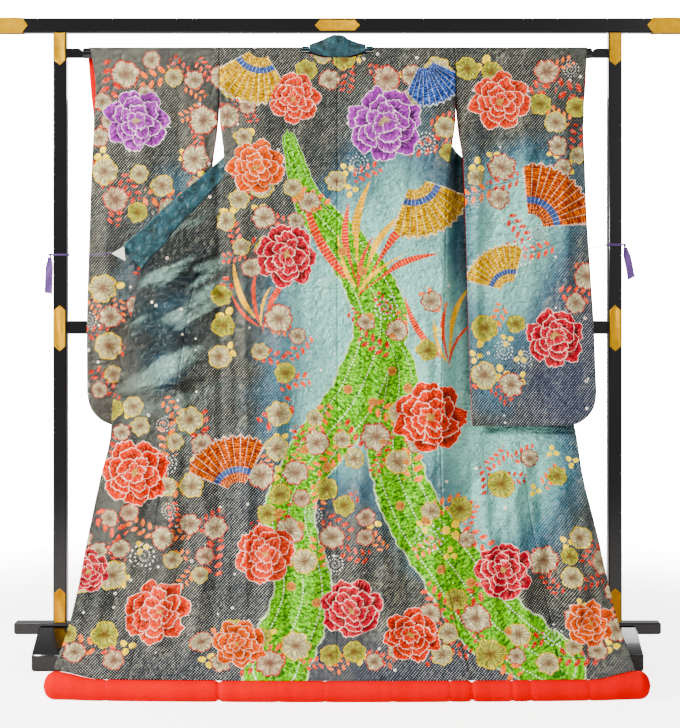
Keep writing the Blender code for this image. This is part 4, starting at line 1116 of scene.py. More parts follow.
def satinMaterial():
    s = Shade("tie-dyed satin")
    place = s.attribute("clothPlace").outputs["Vector"]
    paint, height = groundLayer(s, place)
    for top, cover in (streamLayer(s, place), sprayLayer(s)):
        paint = s.mix(cover, paint, top)
    top, cover, rise = roundLayer(s)
    paint = s.mix(cover, paint, top)
    height = height * (1 - cover) + rise
    top, cover = largeLayer(s)
    paint = s.mix(cover, paint, top)
    # Each large motif swells a little towards its middle
    u, v = motif(s, "largeMotif")[:2]
    height = height + s.maths("MAXIMUM", 1 - (u * u + v * v), 0.0) * 2.0
    # Ridged creases between the motifs, and the threads
    x, y = s.split(place)[:2]
    creased = s.noise(place, 42.0, 2.0, 0.6)
    across = s.noise(s.vector(x * 13.0, y * 36.0), 1.0, 2.0, 0.6)
    warp = (1 - abs(creased * 2 - 1)) * 1.5 + (1 - abs(across * 2 - 1)) * 1.4
    thread = s.noise(s.vector(x * 900.0, y * 260.0), 1.0, 1.0)
    height = height * 0.55 + warp * 1.6 + thread * 0.10
    return s.finish(paint, satin["roughness"] + thread * 0.22, height, 0.0034, 1.0,
                    Specular_IOR_Level=0.42, Specular_Tint=colour("#fff0c4"), Metallic=0.08)


# Plain teal lame of the collar band: a metal thread across a dark warp
lame = {"dark": "#06202c", "light": "#44808e"}


def lameMaterial():
    s = Shade("teal lame")
    place = s.attribute("clothPlace").outputs["Vector"]
    x, y = s.split(place)[:2]
    thread = s.noise(s.vector(x * 260.0, y * 900.0), 1.0, 1.0)
    cloudy = s.noise(place, 34.0, 4.0, 0.65)
    paint = s.mix(thread * 0.5 + (cloudy - 0.5) * 1.4, lame["dark"], lame["light"])
    puckered = s.noise(s.vector(x * 60.0, y * 60.0), 1.0, 2.0)
    return s.finish(paint, 0.34, thread * 0.2 + cloudy * 1.2 + puckered * 1.4, 0.0034, 1.0,
                    Specular_IOR_Level=0.5, Specular_Tint=colour("#fff0c4"), Metallic=0.15)


# Plain red silk of the lining and the padded hem, its colour darker and lighter along broad folds: painted
# shade and painted light
redSilk = {"deep": "#c00000", "bright": "#f40a04", "roughness": 0.65}


def redMaterial():
    s = Shade("red silk")
    place = s.objectPlace()
    x, y, z = s.split(place)
    weave = s.noise(s.vector(x * 500.0, y * 500.0, z * 500.0), 1.0, 1.0)
    # Broad fold noise, also the bump, that darkens and lightens the colour: painted shade and painted light
    # of folds
    folds = s.noise(s.vector(x * 5.0, y * 1.0, z * 1.0), 4.0, 3.0)
    paint = s.mix(0.55 + (weave - 0.5) * 0.5 + (folds - 0.5) * 0.6, redSilk["deep"], redSilk["bright"])
    return s.finish(paint, redSilk["roughness"], weave * 0.1 + folds, 0.004, 0.5, Specular_IOR_Level=0.12)


# Black lacquer, polished, a little worn to brown in places
def lacquerMaterial():
    s = Shade("black lacquer")
    place = s.objectPlace()
    wear = s.noise(place, 14.0, 4.0)
    haze = s.noise(place, 3.0, 2.0)
    paint = s.mix(s.step(0.66, 0.80, wear) * 0.5, "#0b090c", "#231a18")
    return s.finish(paint, 0.16 + haze * 0.14, wear, 0.0004, 0.2, Coat_Weight=0.6, Coat_Roughness=0.05)


# Gilt brass, stamped with a basket weave, a little tarnished
def giltMaterial():
    s = Shade("gilt brass")
    place = s.objectPlace()
    x, _, z = s.split(place)
    first = s.maths("SINE", (x + z) * 1500.0)
    second = s.maths("SINE", (x - z) * 1500.0)
    grid = s.maths("MAXIMUM", first, second)
    tarnish = s.noise(place, 60.0, 3.0)
    paint = s.mix(s.step(-0.1, 0.9, grid) * 0.55 + (tarnish - 0.5) * 0.6, "#b87c10", "#ffd648")
    return s.finish(paint, 0.34, grid, 0.0006, 0.8, Metallic=0.75)


# Purple silk of the ties
def tieMaterial():
    s = Shade("purple silk")
    ribs = s.maths("SINE", s.split(s.objectPlace())[2] * 2600.0)
    paint = s.mix(ribs * 0.25 + 0.5, "#3a1c58", "#7c54a0")
    return s.finish(paint, 0.6, ribs, 0.0003, 0.5, Sheen_Weight=0.3)


# White moulded nylon of the clips: a little cloudy, with a fine satin skin
def clipMaterial():
    s = Shade("white nylon")
    place = s.objectPlace()
    cloudy = s.noise(place, 90.0, 3.0)
    skin = s.noise(place, 1400.0, 1.0)
    paint = s.mix(cloudy, "#d4cec0", "#f2eee4")
    return s.finish(paint, 0.42 + cloudy * 0.12, skin, 0.0002, 0.5)


satinCloth = satinMaterial()
lameCloth = lameMaterial()
redCloth = redMaterial()
lacquer = lacquerMaterial()
gilt = giltMaterial()
tieSilk = tieMaterial()
clipWhite = clipMaterial()
print("materials made")


# Cloth: every panel of the body, the sleeves as bags, and the collar band

cloth = {
    "wall": 0.0015,
    "collarWall": 0.0024,
    "cell": 0.005,
    "shoulderHalf": 0.329,
    "neckHalf": 0.100,
    "neckDrop": 0.0135,
    "sideTuck": 0.014,
    "sleeveCorner": 0.090,
    "cuffFoot": 1.490,
    "collarFoot": 1.094,
    "collarTop": 0.034,
    "collarWide": 0.080,
}
both = [satinCloth, redCloth]


def edgeOf(rows, name, shift=0.0):
    return lambda z: smooth(rows, name, z) + shift


def cellsIn(length):
    return max(2, int(round(length / cloth["cell"])))


def heightsFrom(top, foot):
    return np.linspace(top, foot, cellsIn(top - foot) + 1)


def declare(thing, name, area, extra=()):
    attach(thing, "root")
    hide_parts(name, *extra)


def flatSize(points):
    # A panel's greatest width and length along its cloth, and its area, from its outer grid.
    across = np.linalg.norm(np.diff(points, axis=1), axis=2).sum(axis=1)
    down = np.linalg.norm(np.diff(points, axis=0), axis=2).sum(axis=0)
    low, high = points[1:, :-1], points[:-1, 1:]
    first, second = (np.linalg.norm(np.cross(low - corner, high - corner), axis=2)
                     for corner in (points[:-1, :-1], points[1:, 1:]))
    area = float((first + second).sum() / 2)
    width, length = float(across.max()), float(down.max())
    return (width, length), min(area, 0.995 * width * length)


def buildBack(side):
    # One back panel: over the rod from its top, cut away at the neck, and down to the hem roll.
    toward = 1 if side == "right" else -1
    heights = heightsFrom(rodZ, hemZ)
    share = np.linspace(0, 1, cellsIn(cloth["shoulderHalf"]) + 1)[None, :]
    degrees = np.linspace(0, 90, 6)[:-1]
    arcX = toward * (cloth["shoulderHalf"] * share)
    arc, arcCloth = overRod(arcX, degrees)
    z = heights[:, None] + 0 * share
    x = toward * (np.abs(smooth(backEdge, side, z)) * share)
    dip = cloth["neckDrop"] * ease(1.4 * (1 - np.abs(x) / cloth["neckHalf"]))
    z = z - dip * np.clip(1 - (rodZ - z) / 0.2, 0, 1)
    y = backDepth(x, z) - bodyShape(x, z)
    points = np.concatenate([arc, np.stack([x, y, z], axis=2)])
    flat = np.concatenate([arcCloth, np.stack([x, runOf(z)], axis=2)])
    neck = np.abs(points[:-1, 1:, 0] + points[:-1, :-1, 0]) / 2 < cloth["neckHalf"]
    neck[5:] = False
    label = f"clothBack{side.title()}"
    thing = shell(label, points, flat, (0, -1, 0.2), cloth["wall"], both, "body", cut=neck)
    faceOutwards(thing)
    size, area = flatSize(points)
    declare(thing, f"back_{side}", area)


def buildSpread(name, top, low, high, depth, cells):
    points, flat = hangingGrid(heightsFrom(top, hemZ), low, high, cells, depth)
    label = "cloth" + name.title().replace("_", "")
    thing = shell(label, points, flat, (0, -1, 0.2), cloth["wall"], both, "body")
    size, area = flatSize(points)
    declare(thing, name, area)


def buildBody():
    for side in ("left", "right"):
        buildBack(side)
    left, right, tuck = leftSpread, rightSpread, cloth["sideTuck"]
    # Each panel: name, top, low and high edges across, depth, cells across
    panels = (
        ("okumi_left", 1.381, edgeOf(left, "edge"), edgeOf(left, "seam"), leftDepth, 42),
        ("front_left", 1.345, edgeOf(left, "seam"), edgeOf(backEdge, "left", tuck), leftDepth, 48),
        ("okumi_right", 1.402, edgeOf(right, "seam"), edgeOf(right, "edge"), rightDepth, 42),
        ("front_right", 1.365, edgeOf(backEdge, "right", -tuck), edgeOf(right, "seam"), rightDepth, 60),
    )
    for panel in panels:
        buildSpread(*panel)


# How far the collar's seam hangs behind the rod, by height
collarDepth = {
    "left": table("z y", (1.38, -0.026), (1.43, -0.010), (1.50, 0.008), (1.60, 0.0170), (1.70, 0.0168)),
    "right": table("z y", (1.38, 0.024), (1.43, 0.0225), (1.50, 0.0195), (1.60, 0.0172), (1.70, 0.0168)),
}


def buildShoulder(side):
    # The top of a front behind the rod, from the shoulder line down to its collar seam.
    toward = 1 if side == "right" else -1
    collarSeam = table("z seam", (1.440, 0.2900), (1.500, 0.2480), (1.570, 0.1960), (1.640, 0.1440),
                       (1.6967, 0.1080))
    edges = table("z edge", (1.43, 0.3215), (1.52, 0.329), (1.72, 0.329))
    share = np.linspace(0, 1, 40)[None, :]
    degrees = np.linspace(0, 90, 6)[:-1]
    start = smooth(edges, "edge", rodZ)
    arcX = toward * (start + (0.1092 - start) * share)
    angle = np.radians(degrees)[:, None] + 0 * arcX
    arc = np.stack([arcX + 0 * angle, np.sin(angle) * foldRadius, rodZ + np.cos(angle) * foldRadius], axis=2)
    z = heightsFrom(rodZ, 1.440)[:, None] + 0 * share
    edge, low = smooth(edges, "edge", z), smooth(collarSeam, "seam", z) + 0.001
    x = edge + (low - edge) * share
    far = smooth(hang, f"{side}_far", z)
    y = far + (smooth(collarDepth[side], "y", z) - far) * share
    x = toward * x
    y = y + (0.0008 * cloud(x, z, 0.05, 9) + 0.0006 * cloud(x, z, 0.03, 10)) * ease((rodZ - z) / 0.06)
    points = np.concatenate([arc, np.stack([x, y, z], axis=2)])
    run = np.concatenate([np.radians(degrees)[:, None] * foldRadius + 0 * arcX, quarter + rodZ - z])
    flat = np.stack([points[:, :, 0], -run], axis=2)
    thing = shell(f"clothShoulder{side.title()}", points, flat, (0, 1, 0.2), cloth["wall"], both, "shoulder")
    size, area = flatSize(points)
    declare(thing, f"shoulder_{side}", area)


def sleevePlace(side, layer, share, z):
    # Where the near or the far layer of a sleeve hangs, at a share of the way from body to cuff.
    edges = {"left": leftSleeve, "right": rightSleeve}[side]
    body = smooth(edges, "body", z)
    x = body + (smooth(edges, layer, z) - body) * share
    near, far = smooth(hang, f"{side}_near", z), smooth(hang, f"{side}_far", z)
    middle, half = (near + far) / 2, (far - near) / 2
    sewn = ease((share - 0.80) / 0.20) * ease((cloth["cuffFoot"] + 0.03 - z) / 0.04)
    half = half + (0.0023 - half) * sewn
    fade = ease((rodZ - z) / 0.12) * (1 - 0.85 * sewn)
    creases = (1.5 * foldDepth(sleeveFolds[side], x, z) + pucker(x, z) * 0.8) * fade * ease((z - 0.70) / 0.1)
    inward = -0.8 * np.maximum(half - 1.4 * cloth["wall"], 0)
    if layer == "far":
        y = middle + half + np.maximum(0.35 * creases, inward)
    else:
        y = middle - half - np.maximum(creases, inward)
    return np.stack([x, y, z + 0 * x], axis=-1)


def buildSleeve(side, foot):
    # A sleeve: one length over the rod, closed along its foot and up its outer edge to the cuff.
    edges = {"left": leftSleeve, "right": rightSleeve}[side]
    width = abs(edges["near"][0] - edges["body"][0])
    share = np.linspace(0, 1, 72)
    corner = cloth["sleeveCorner"]
    into = np.maximum(0.0, corner - (1 - share) * width)
    bottom = foot + corner - np.sqrt(np.maximum(corner**2 - into**2, 0))
    cuff = cloth["cuffFoot"]
    low = cellsIn(cuff - foot)
    t = np.linspace(0, 1, low + 1)[None, :]
    sewnZ = bottom[:, None] + (cuff - bottom[:, None]) * t
    openZ = np.linspace(cuff, rodZ, cellsIn(rodZ - cuff) + 1)[1:-1][None, :] + 0 * bottom[:, None]
    z = np.concatenate([sewnZ, openZ], axis=1)
    across = share[:, None] + 0 * z
    near, far = sleevePlace(side, "near", across, z), sleevePlace(side, "far", across, z)
    turn = np.linspace(0, math.pi, 13)[None, :]
    over = turn / math.pi
    body = smooth(edges, "body", rodZ)
    edge = smooth(edges, "near", rodZ) * (1 - over) + smooth(edges, "far", rodZ) * over
    arc = np.stack([body + (edge - body) * share[:, None], -np.cos(turn) * foldRadius + 0 * share[:, None],
                    rodZ + np.sin(turn) * foldRadius + 0 * share[:, None]], axis=2)
    middle = (near[:, :1] + far[:, :1]) / 2
    under = [middle + (near[:, :1] - middle) * 0.6 - np.array([0, 0, 0.002]),
             middle + (far[:, :1] - middle) * 0.6 - np.array([0, 0, 0.002])]
    ring = np.concatenate([under[0], near, arc, far[:, ::-1], under[1]], axis=1)
    count, size = ring.shape[:2]
    along = np.gradient(ring, axis=0)
    around = np.roll(ring, -1, axis=1) - np.roll(ring, 1, axis=1)
    normals = np.cross(around, along)
    normals /= np.maximum(np.linalg.norm(normals, axis=2, keepdims=True), 1e-12)
    probe = normals[count // 2, size // 4]
    normals = normals if probe[1] < 0 else -normals
    points = np.concatenate([ring.reshape(-1, 3), (ring - normals * cloth["wall"] * 0.8).reshape(-1, 3)])
    # The cloth's flat places: down the near side from the rod's top, and the other way behind
    runs = quarter + rodZ - ring[:, :, 2]
    arcAt = 1 + near.shape[1]
    runs[:, arcAt:arcAt + 13] = np.abs(turn - math.pi / 2) * foldRadius
    sign = np.where(np.arange(size) < arcAt + 7, 1.0, -1.0)[None, :]
    sign[:, -1] = 1.0
    flat = np.stack([ring[:, :, 0], runs * sign], axis=2).reshape(-1, 2)
    inner = count * size

    def quads(*corners):
        # Faces from four corners, each a layer, a row, and a place round the ring.
        return np.stack([layer * inner + r * size + k % size for layer, r, k in corners], axis=1)

    r, k = (a.ravel() for a in np.meshgrid(np.arange(count - 1), np.arange(size), indexing="ij"))
    outside = quads((0, r, k), (0, r, k + 1), (0, r + 1, k + 1), (0, r + 1, k))
    inside = outside[:, ::-1] + inner
    k = np.arange(size)
    mouth = quads((0, 0, k), (1, 0, k), (1, 0, k + 1), (0, 0, k + 1))
    last = count - 1
    closed = low + 1
    k = np.arange(0, closed)
    mirror = size - 1 - k
    sewn = quads((0, last, k), (0, last, k + 1), (0, last, mirror - 1), (0, last, mirror))
    sewnIn = sewn[:, ::-1] + inner
    k = np.arange(closed, size - 1 - closed)
    open_ = quads((0, last, k), (0, last, k + 1), (1, last, k + 1), (1, last, k))
    first, final = np.array([closed]), np.array([size - 1 - closed])
    step = quads((0, last, first), (1, last, first), (1, last, final), (0, last, final))
    faces = np.concatenate([outside, inside, mouth, sewn, sewnIn, open_, step])
    kinds = np.zeros(len(faces), int)
    kinds[len(outside):len(outside) + len(inside)] = 1
    kinds[len(outside) + len(inside) + len(mouth) + len(sewn):][:len(sewnIn)] = 1
    points[:, 1] += postY
    thing = addMesh(f"clothSleeve{side.title()}", points, faces.tolist(), both, kinds)
    places = np.concatenate([flat, flat])
    isOutside = np.zeros(len(faces), bool)
    isOutside[:len(outside)] = True
    dress(thing, places, faces, isOutside, side)
    faceOutwards(thing)
    length = 2 * (rodZ - foot + quarter)
    declare(thing, f"sleeve_{side}", 0.985 * width * length,
            [f"cuff_lining_{side}"])


def faceOutwards(thing):
    # Turns all faces outwards, and drops points that no face uses.
    work = bmesh.new()
    work.from_mesh(thing.data)
    bmesh.ops.delete(work, geom=[vertex for vertex in work.verts if not vertex.link_faces], context="VERTS")
    bmesh.ops.recalc_face_normals(work, faces=work.faces)
    work.to_mesh(thing.data)
    work.free()


print("building the cloth")
buildBody()
for side, foot in (("left", 0.658), ("right", 0.668)):
    buildShoulder(side)
    buildSleeve(side, foot)
print("body, shoulders and sleeves made")


def stripGrid(first, second, cells, across):
    # A grid between two edge lines, each a list of points, on smooth curves.
    first, second = np.array(first, float), np.array(second, float)
    middle = (first + second) / 2
    steps = np.concatenate([[0], np.cumsum(np.linalg.norm(np.diff(middle, axis=0), axis=1))])
    at = np.linspace(0, steps[-1], cells + 1)
    lines = []
    for line in (first, second):
        rows = dict(at=steps, x=line[:, 0], y=line[:, 1], z=line[:, 2])
        lines.append(np.stack([smooth(rows, axis, at) for axis in "xyz"], axis=1))
    share = np.linspace(0, 1, across + 1)[None, :, None]
    points = lines[0][:, None] * (1 - share) + lines[1][:, None] * share
    flat = np.stack([at[:, None] + 0 * share[:, :, 0], share[:, :, 0] * 0.06 + 0 * at[:, None]], axis=2)
    return points, flat


def collarPiece(name, points, flat, toward, raised):
    # One stretch of the collar band: a folded double cloth, plain teal, with a rounded fold.
    wall = cloth["collarWall"]
    if raised:
        points = points + gridNormals(points, toward) * wall
    thing = shell("band" + name.title().replace("_", ""), points, flat, toward, wall, [lameCloth, lameCloth])
    faceOutwards(thing)
    size, area = flatSize(points)
    declare(thing, name, area)


def buildCollar():
    neck = table(
        "x      seamY   seamZ   topY    topZ",
        (-0.0785, -0.0172, 1.7010, -0.0085, 1.7190),
        (-0.050, -0.0172, 1.6910, -0.0100, 1.7300),
        (-0.025, -0.0172, 1.6860, -0.0120, 1.7410),
        (-0.008, -0.0172, 1.6845, -0.0130, 1.7470),
        (0.012, -0.0172, 1.6845, -0.0130, 1.7455),
        (0.030, -0.0172, 1.6865, -0.0120, 1.7350),
        (0.052, -0.0172, 1.6915, -0.0100, 1.7260),
        (0.0785, -0.0172, 1.7010, -0.0085, 1.7190),
    )
    seam = list(zip(neck["x"], neck["seamY"], neck["seamZ"]))
    top = list(zip(neck["x"], neck["topY"], neck["topZ"]))
    collarPiece("collar_neck", *stripGrid(seam, top, 60, 12), (0, -1, 0.2), True)
    run = table(
        "z      seam   free   drop",
        (1.395, 0.3060, 0.2800, 0.028),
        (1.440, 0.2900, 0.2580, 0.028),
        (1.500, 0.2480, 0.2150, 0.030),
        (1.570, 0.1960, 0.1620, 0.030),
        (1.640, 0.1440, 0.1120, 0.026),
        (1.6955, 0.1080, 0.0860, 0.014),
    )
    crossing = ((60, 0.1040, 0.0840), (30, 0.1000, 0.0810), (0, 0.0994, 0.0792), (-30, 0.0994, 0.0792),
                (-60, 0.0994, 0.0792))
    sides = (("left", -1, leftSpread, leftDepth), ("right", 1, rightSpread, rightDepth))
    for side, toward, spread, depth in sides:
        seam, free = [], []
        for z, seamX, freeX, drop in zip(*run.values()):
            y = float(smooth(collarDepth[side], "y", z)) + 0.0005
            seam.append((toward * seamX, y, z))
            free.append((toward * freeX, y, z - drop))
        for degrees, seamX, freeX in crossing:
            angle = math.radians(degrees)
            place = (foldRadius + 0.0004) * math.sin(angle), rodZ + (foldRadius + 0.0004) * math.cos(angle)
            seam.append((toward * seamX, *place))
            free.append((toward * freeX, *place))
        collarPiece(f"collar_{side}_top", *stripGrid(seam, free, 90, 8), (0, 1, 0), True)
        head, foot = float(spread["z"][-1]), cloth["collarFoot"]
        z = heightsFrom(head, foot)[:, None]
        width = cloth["collarTop"] + (cloth["collarWide"] - cloth["collarTop"]) * (head - z) / (head - foot)
        out = -0.004 + (width + 0.004) * np.linspace(0, 1, 17)[None, :]
        x = smooth(spread, "edge", z) + toward * 0.700 * out
        up = z + 0.714 * out
        y = depth(x, up) - bodyShape(x, up) - 0.0010 - 0.0006 * cloud(x, up, 0.03, 8)
        points = np.stack([x, y, up], axis=2)
        collarPiece(f"collar_{side}", points, np.stack([x, -up], axis=2), (0, -1, 0.2), False)


# The padded hem: wadding in red silk, pinched where the seams gather it. Each pinch: across, depth
hemPinches = ((-0.590, 0.05), (-0.301, 0.16), (-0.150, 0.04), (-0.032, 0.05), (0.140, 0.04), (0.286, 0.06),
              (0.342, 0.17), (0.444, 0.07), (0.491, 0.06), (0.640, 0.05))


def buildHem():
    radius, left, right = hem["radius"], hem["left"], hem["right"]
    x = np.linspace(left + 0.0004, right - 0.0004, 360)
    inset = np.clip(1 - np.minimum(x - left, right - x) / hem["corner"], 0, 1)
    full = np.maximum(np.sqrt(1 - inset**2), 0.10)
    for at, depth in hemPinches:
        full = full * (1 - depth * np.exp(-(((x - at) / 0.006) ** 2)))
        gathers = 0.25 * depth * np.cos((x - at) / 0.0042) * np.exp(-(((x - at) / 0.022) ** 2))
        full = full * (1 - np.abs(gathers))
    turn = roundTurn(hem["around"])[None, :]
    x, full = x[:, None], full[:, None]
    soft = 1 - 0.014 * (1 + cloud(x + 0 * turn, 0.08 * np.cos(turn) + 0 * x, 0.035, 21)) * (full > 0.9)
    radius = radius + hemSwell(x)
    size = radius * full * soft
    y = -hem["reach"] + radius + hemCurve(x) - np.cos(turn) * size
    rise = size * (1 + np.sin(turn))
    press = hem["press"]
    rise = np.maximum(rise - press, 0) * 2 * radius / (2 * radius - press)
    z = np.minimum(radius * (1 - full) + rise, 2 * radius)
    points = np.stack([x + 0 * turn, y + postY, z], axis=2)
    rows, around = points.shape[:2]
    r, k = (a.ravel() for a in np.meshgrid(np.arange(rows - 1), np.arange(around), indexing="ij"))
    after = (k + 1) % around
    here, below = r * around, (r + 1) * around
    faces = np.stack([here + k, here + after, below + after, below + k], axis=1).tolist()
    faces += [list(range(around)), list(range((rows - 1) * around, rows * around))]
    thing = addMesh("hemPadding", points.reshape(-1, 3), faces, [redCloth])
    faceOutwards(thing)
    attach(thing, "root")
    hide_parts("hem_roll")


buildCollar()
buildHem()
print("collar and hem made")


# The rack: black lacquered timber with softly rounded edges, the rod and its holders

rack = {
    "railReach": 1.000, "railDepth": 0.042, "railLow": 1.753, "railHigh": 1.793,
    "postX": 0.775, "postWide": 0.038,
    "barDepth": 0.034, "barLow": 0.911, "barHigh": 0.947,
    "lowReach": 0.903, "lowDepth": 0.042, "lowBottom": 0.073, "lowTop": 0.105,
    "footReach": 0.150, "footWide": 0.114, "footToe": 0.045, "footCrest": 0.095,
    "rodRadius": 0.0145, "rodReach": 0.712, "holderHigh": 0.026, "holderDeep": 0.020,
    "round": 0.0032,
}


def toMesh(work, name, materials, smoothAngle=40):
    # Finishes a worked mesh as a piece at the frame's place.
    bmesh.ops.recalc_face_normals(work, faces=work.faces)
    mesh = bpy.data.meshes.new(name)
    work.to_mesh(mesh)
    work.free()
    for material in materials:
        mesh.materials.append(material)
    mesh.shade_smooth()
    mesh.set_sharp_from_angle(angle=math.radians(smoothAngle))
    return addObject(name, mesh)


def place(thing, slot, *names):
    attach(thing, "root")
    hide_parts(*names)
    return thing


def bridge(work, rings):
    # Joins rings of points by faces, closed at both ends.
    work.faces.new(rings[0])
    work.faces.new(rings[-1][::-1])
    count = len(rings[0])
    for lower, upper in zip(rings, rings[1:]):
        for k in range(count):
            after = (k + 1) % count
            work.faces.new([lower[k], lower[after], upper[after], upper[k]])


def extrude(work, outline, low, high, axis):
    # Adds an outline pushed along an axis to a worked mesh.
    rings = []
    for along in (low, high):
        ring = []
        for point in outline:
            values = list(point)
            values.insert(axis, along)
            values[1] += postY
            ring.append(work.verts.new(values))
        rings.append(ring)
    bridge(work, rings)


def rounded(work, size, segments=3, sharpest=math.radians(30)):
    bmesh.ops.recalc_face_normals(work, faces=work.faces)
    edges = [edge for edge in work.edges if len(edge.link_faces) == 2 and edge.calc_face_angle(0) > sharpest]
    bmesh.ops.bevel(work, geom=edges, offset=size, segments=segments, affect="EDGES", clamp_overlap=True)


def beam(name, low, high, node):
    work = bmesh.new()
    outline = [(low[0], low[2]), (high[0], low[2]), (high[0], high[2]), (low[0], high[2])]
    extrude(work, outline, low[1], high[1], 1)
    rounded(work, rack["round"])
    place(toMesh(work, name, [lacquer]), "black_lacquer", node)


def buildRack():
    half = rack["postWide"] / 2
    side = rack["railDepth"] / 2
    reach = rack["railReach"] - plate["thick"]
    beam("lacquerTopRail", (-reach, -side, rack["railLow"]), (reach, side, rack["railHigh"]), "top_rail")
    side = rack["barDepth"] / 2
    reach = rack["postX"] - half - clear
    beam("lacquerMidBar", (-reach, -side, rack["barLow"]), (reach, side, rack["barHigh"]), "mid_bar")
    side = rack["lowDepth"] / 2
    reach = rack["lowReach"]
    beam("lacquerLowRail", (-reach, -side, rack["lowBottom"]), (reach, side, rack["lowTop"]), "bottom_rail")
    for side, toward in (("left", -1), ("right", 1)):
        x = toward * rack["postX"]
        beam(f"lacquerPost{side.title()}", (x - half, -half, rack["lowTop"] + clear),
             (x + half, half, rack["railLow"] - clear), f"post_{side}")
        work = bmesh.new()
        notch, seat = rack["lowDepth"] / 2 + clear, rack["lowBottom"] - clear
        toe, low, crest = rack["footReach"], rack["footToe"], rack["footCrest"]
        outline = [(-toe, 0), (-toe, low), (-notch - 0.012, crest), (-notch, crest), (-notch, seat),
                   (notch, seat), (notch, crest), (notch + 0.012, crest), (toe, low), (toe, 0)]
        extrude(work, outline, x - rack["footWide"] / 2, x + rack["footWide"] / 2, 0)
        rounded(work, 0.0035)
        place(toMesh(work, f"lacquerFoot{side.title()}", [lacquer]), "black_lacquer", f"foot_{side}")
        work = bmesh.new()
        start, end = rack["postX"] - half - clear, rack["rodReach"] + clear
        low, high = rodZ - rack["holderHigh"] / 2, rodZ + rack["holderHigh"] / 2
        nose = 0.014
        outline = [(start, low), (start, high)]
        for angle in np.linspace(0, math.pi / 2, 13):
            outline.append((end + nose - nose * math.sin(angle), high - nose + nose * math.cos(angle)))
        outline.append((end, low))
        deep = rack["holderDeep"] / 2
        extrude(work, [(toward * a, b) for a, b in outline], -deep, deep, 1)
        rounded(work, 0.0012, 2)
        place(toMesh(work, f"lacquerHolder{side.title()}", [lacquer]), "black_lacquer", f"rod_holder_{side}")
    work = bmesh.new()
    radius = rack["rodRadius"]
    circle = [(radius * math.cos(a), rodZ + radius * math.sin(a)) for a in roundTurn(48)]
    extrude(work, circle, -rack["rodReach"], rack["rodReach"], 0)
    rounded(work, 0.0010, 2)
    place(toMesh(work, "lacquerRod", [lacquer]), "black_lacquer", "rod")


# Gilt fittings: a plate with a raised border, a stamped field, and domed nails along the border
plate = {"thick": 0.0012, "half": 0.0155, "point": 0.014, "border": 0.0030, "rise": 0.0005,
         "nail": 0.0015, "nailRise": 0.0010, "pitch": 0.015, "slope": 0.0006, "bevel": 0.0003}


def plateOutline(low, high, half, lowPoint, highPoint, inset=0.0):
    # A long plate's outline, each end square or brought to a point, and moved in by an inset.
    low, high, half = low + inset, high - inset, half - inset
    outline = [(low + lowPoint, half), (high - highPoint, half)]
    outline += [(high, 0.0)] if highPoint else []
    outline += [(high - highPoint, -half), (low + lowPoint, -half)]
    outline += [(low, 0.0)] if lowPoint else []
    return outline


def nailPlaces(outline):
    # The nails' places: at the corners of an outline, and evenly between them.
    places = []
    for k, (x, z) in enumerate(outline):
        endX, endZ = outline[(k + 1) % len(outline)]
        count = max(1, round(math.hypot(endX - x, endZ - z) / plate["pitch"]))
        places += [(x + (endX - x) * i / count, z + (endZ - z) * i / count) for i in range(count)]
    return places


def nailTree():
    # Geometry Nodes: a domed head at each marked point of a fitting, joined to it
    tree = bpy.data.node_groups.new("domedNails", "GeometryNodeTree")
    for label, kind in (("Geometry", "Geometry"), ("Head radius", "Float"), ("Head rise", "Float"),
                        ("Gilt", "Material")):
        tree.interface.new_socket(label, in_out="INPUT", socket_type="NodeSocket" + kind)
    tree.interface.new_socket("Geometry", in_out="OUTPUT", socket_type="NodeSocketGeometry")

    def add(kind, inputs=None, **settings):
        made = tree.nodes.new(kind)
        for key, value in settings.items():
            setattr(made, key, value)
        for key, value in (inputs or {}).items():
            if isinstance(value, bpy.types.NodeSocket):
                tree.links.new(value, made.inputs[key])
            else:
                made.inputs[key].default_value = value
        return made

    given = add("NodeGroupInput").outputs
    spot = add("GeometryNodeInputNamedAttribute", {"Name": "nailSpot"}, data_type="INT").outputs[0]
    parts = add("GeometryNodeSeparateGeometry", {"Geometry": given["Geometry"], "Selection": spot}).outputs
    dome = add("GeometryNodeMeshUVSphere", {"Segments": 10, "Rings": 6, "Radius": 1.0}).outputs[0]
    size = add("ShaderNodeCombineXYZ", {"X": given["Head radius"], "Y": given["Head rise"],
                                        "Z": given["Head radius"]}).outputs[0]
    heads = add("GeometryNodeInstanceOnPoints",
                {"Points": parts[0], "Instance": dome, "Scale": size}).outputs[0]
    heads = add("GeometryNodeRealizeInstances", {"Geometry": heads}).outputs[0]
    whole = add("GeometryNodeJoinGeometry")
    tree.links.new(heads, whole.inputs[0])
    tree.links.new(parts[1], whole.inputs[0])
    done = add("GeometryNodeSetMaterial", {"Geometry": whole.outputs[0], "Material": given["Gilt"]})
    tree.links.new(done.outputs[0], add("NodeGroupOutput").inputs[0])
    return tree


nails = nailTree()


def fittingMesh():
    work = bmesh.new()
    work.verts.layers.int.new("nailSpot")
    return work


def addNail(work, x, y, z):
    # Marks where a domed nail head faces the viewer.
    work.verts.new((x, y, z))[work.verts.layers.int["nailSpot"]] = 1


def nailed(thing):
    # Sets the nails on a fitting's marked points, and makes the result its plain mesh.
    modifier = thing.modifiers.new("nails", "NODES")
    modifier.node_group = nails
    values = {"Head radius": plate["nail"], "Head rise": plate["nailRise"], "Gilt": gilt}
    for item in nails.interface.items_tree:
        if item.in_out == "INPUT" and item.name in values:
            modifier[item.identifier] = values[item.name]
    mesh = bpy.data.meshes.new_from_object(thing.evaluated_get(bpy.context.evaluated_depsgraph_get()))
    thing.modifiers.clear()
    thing.data = mesh
    mesh.shade_smooth()
    mesh.set_sharp_from_angle(angle=math.radians(40))
    return thing


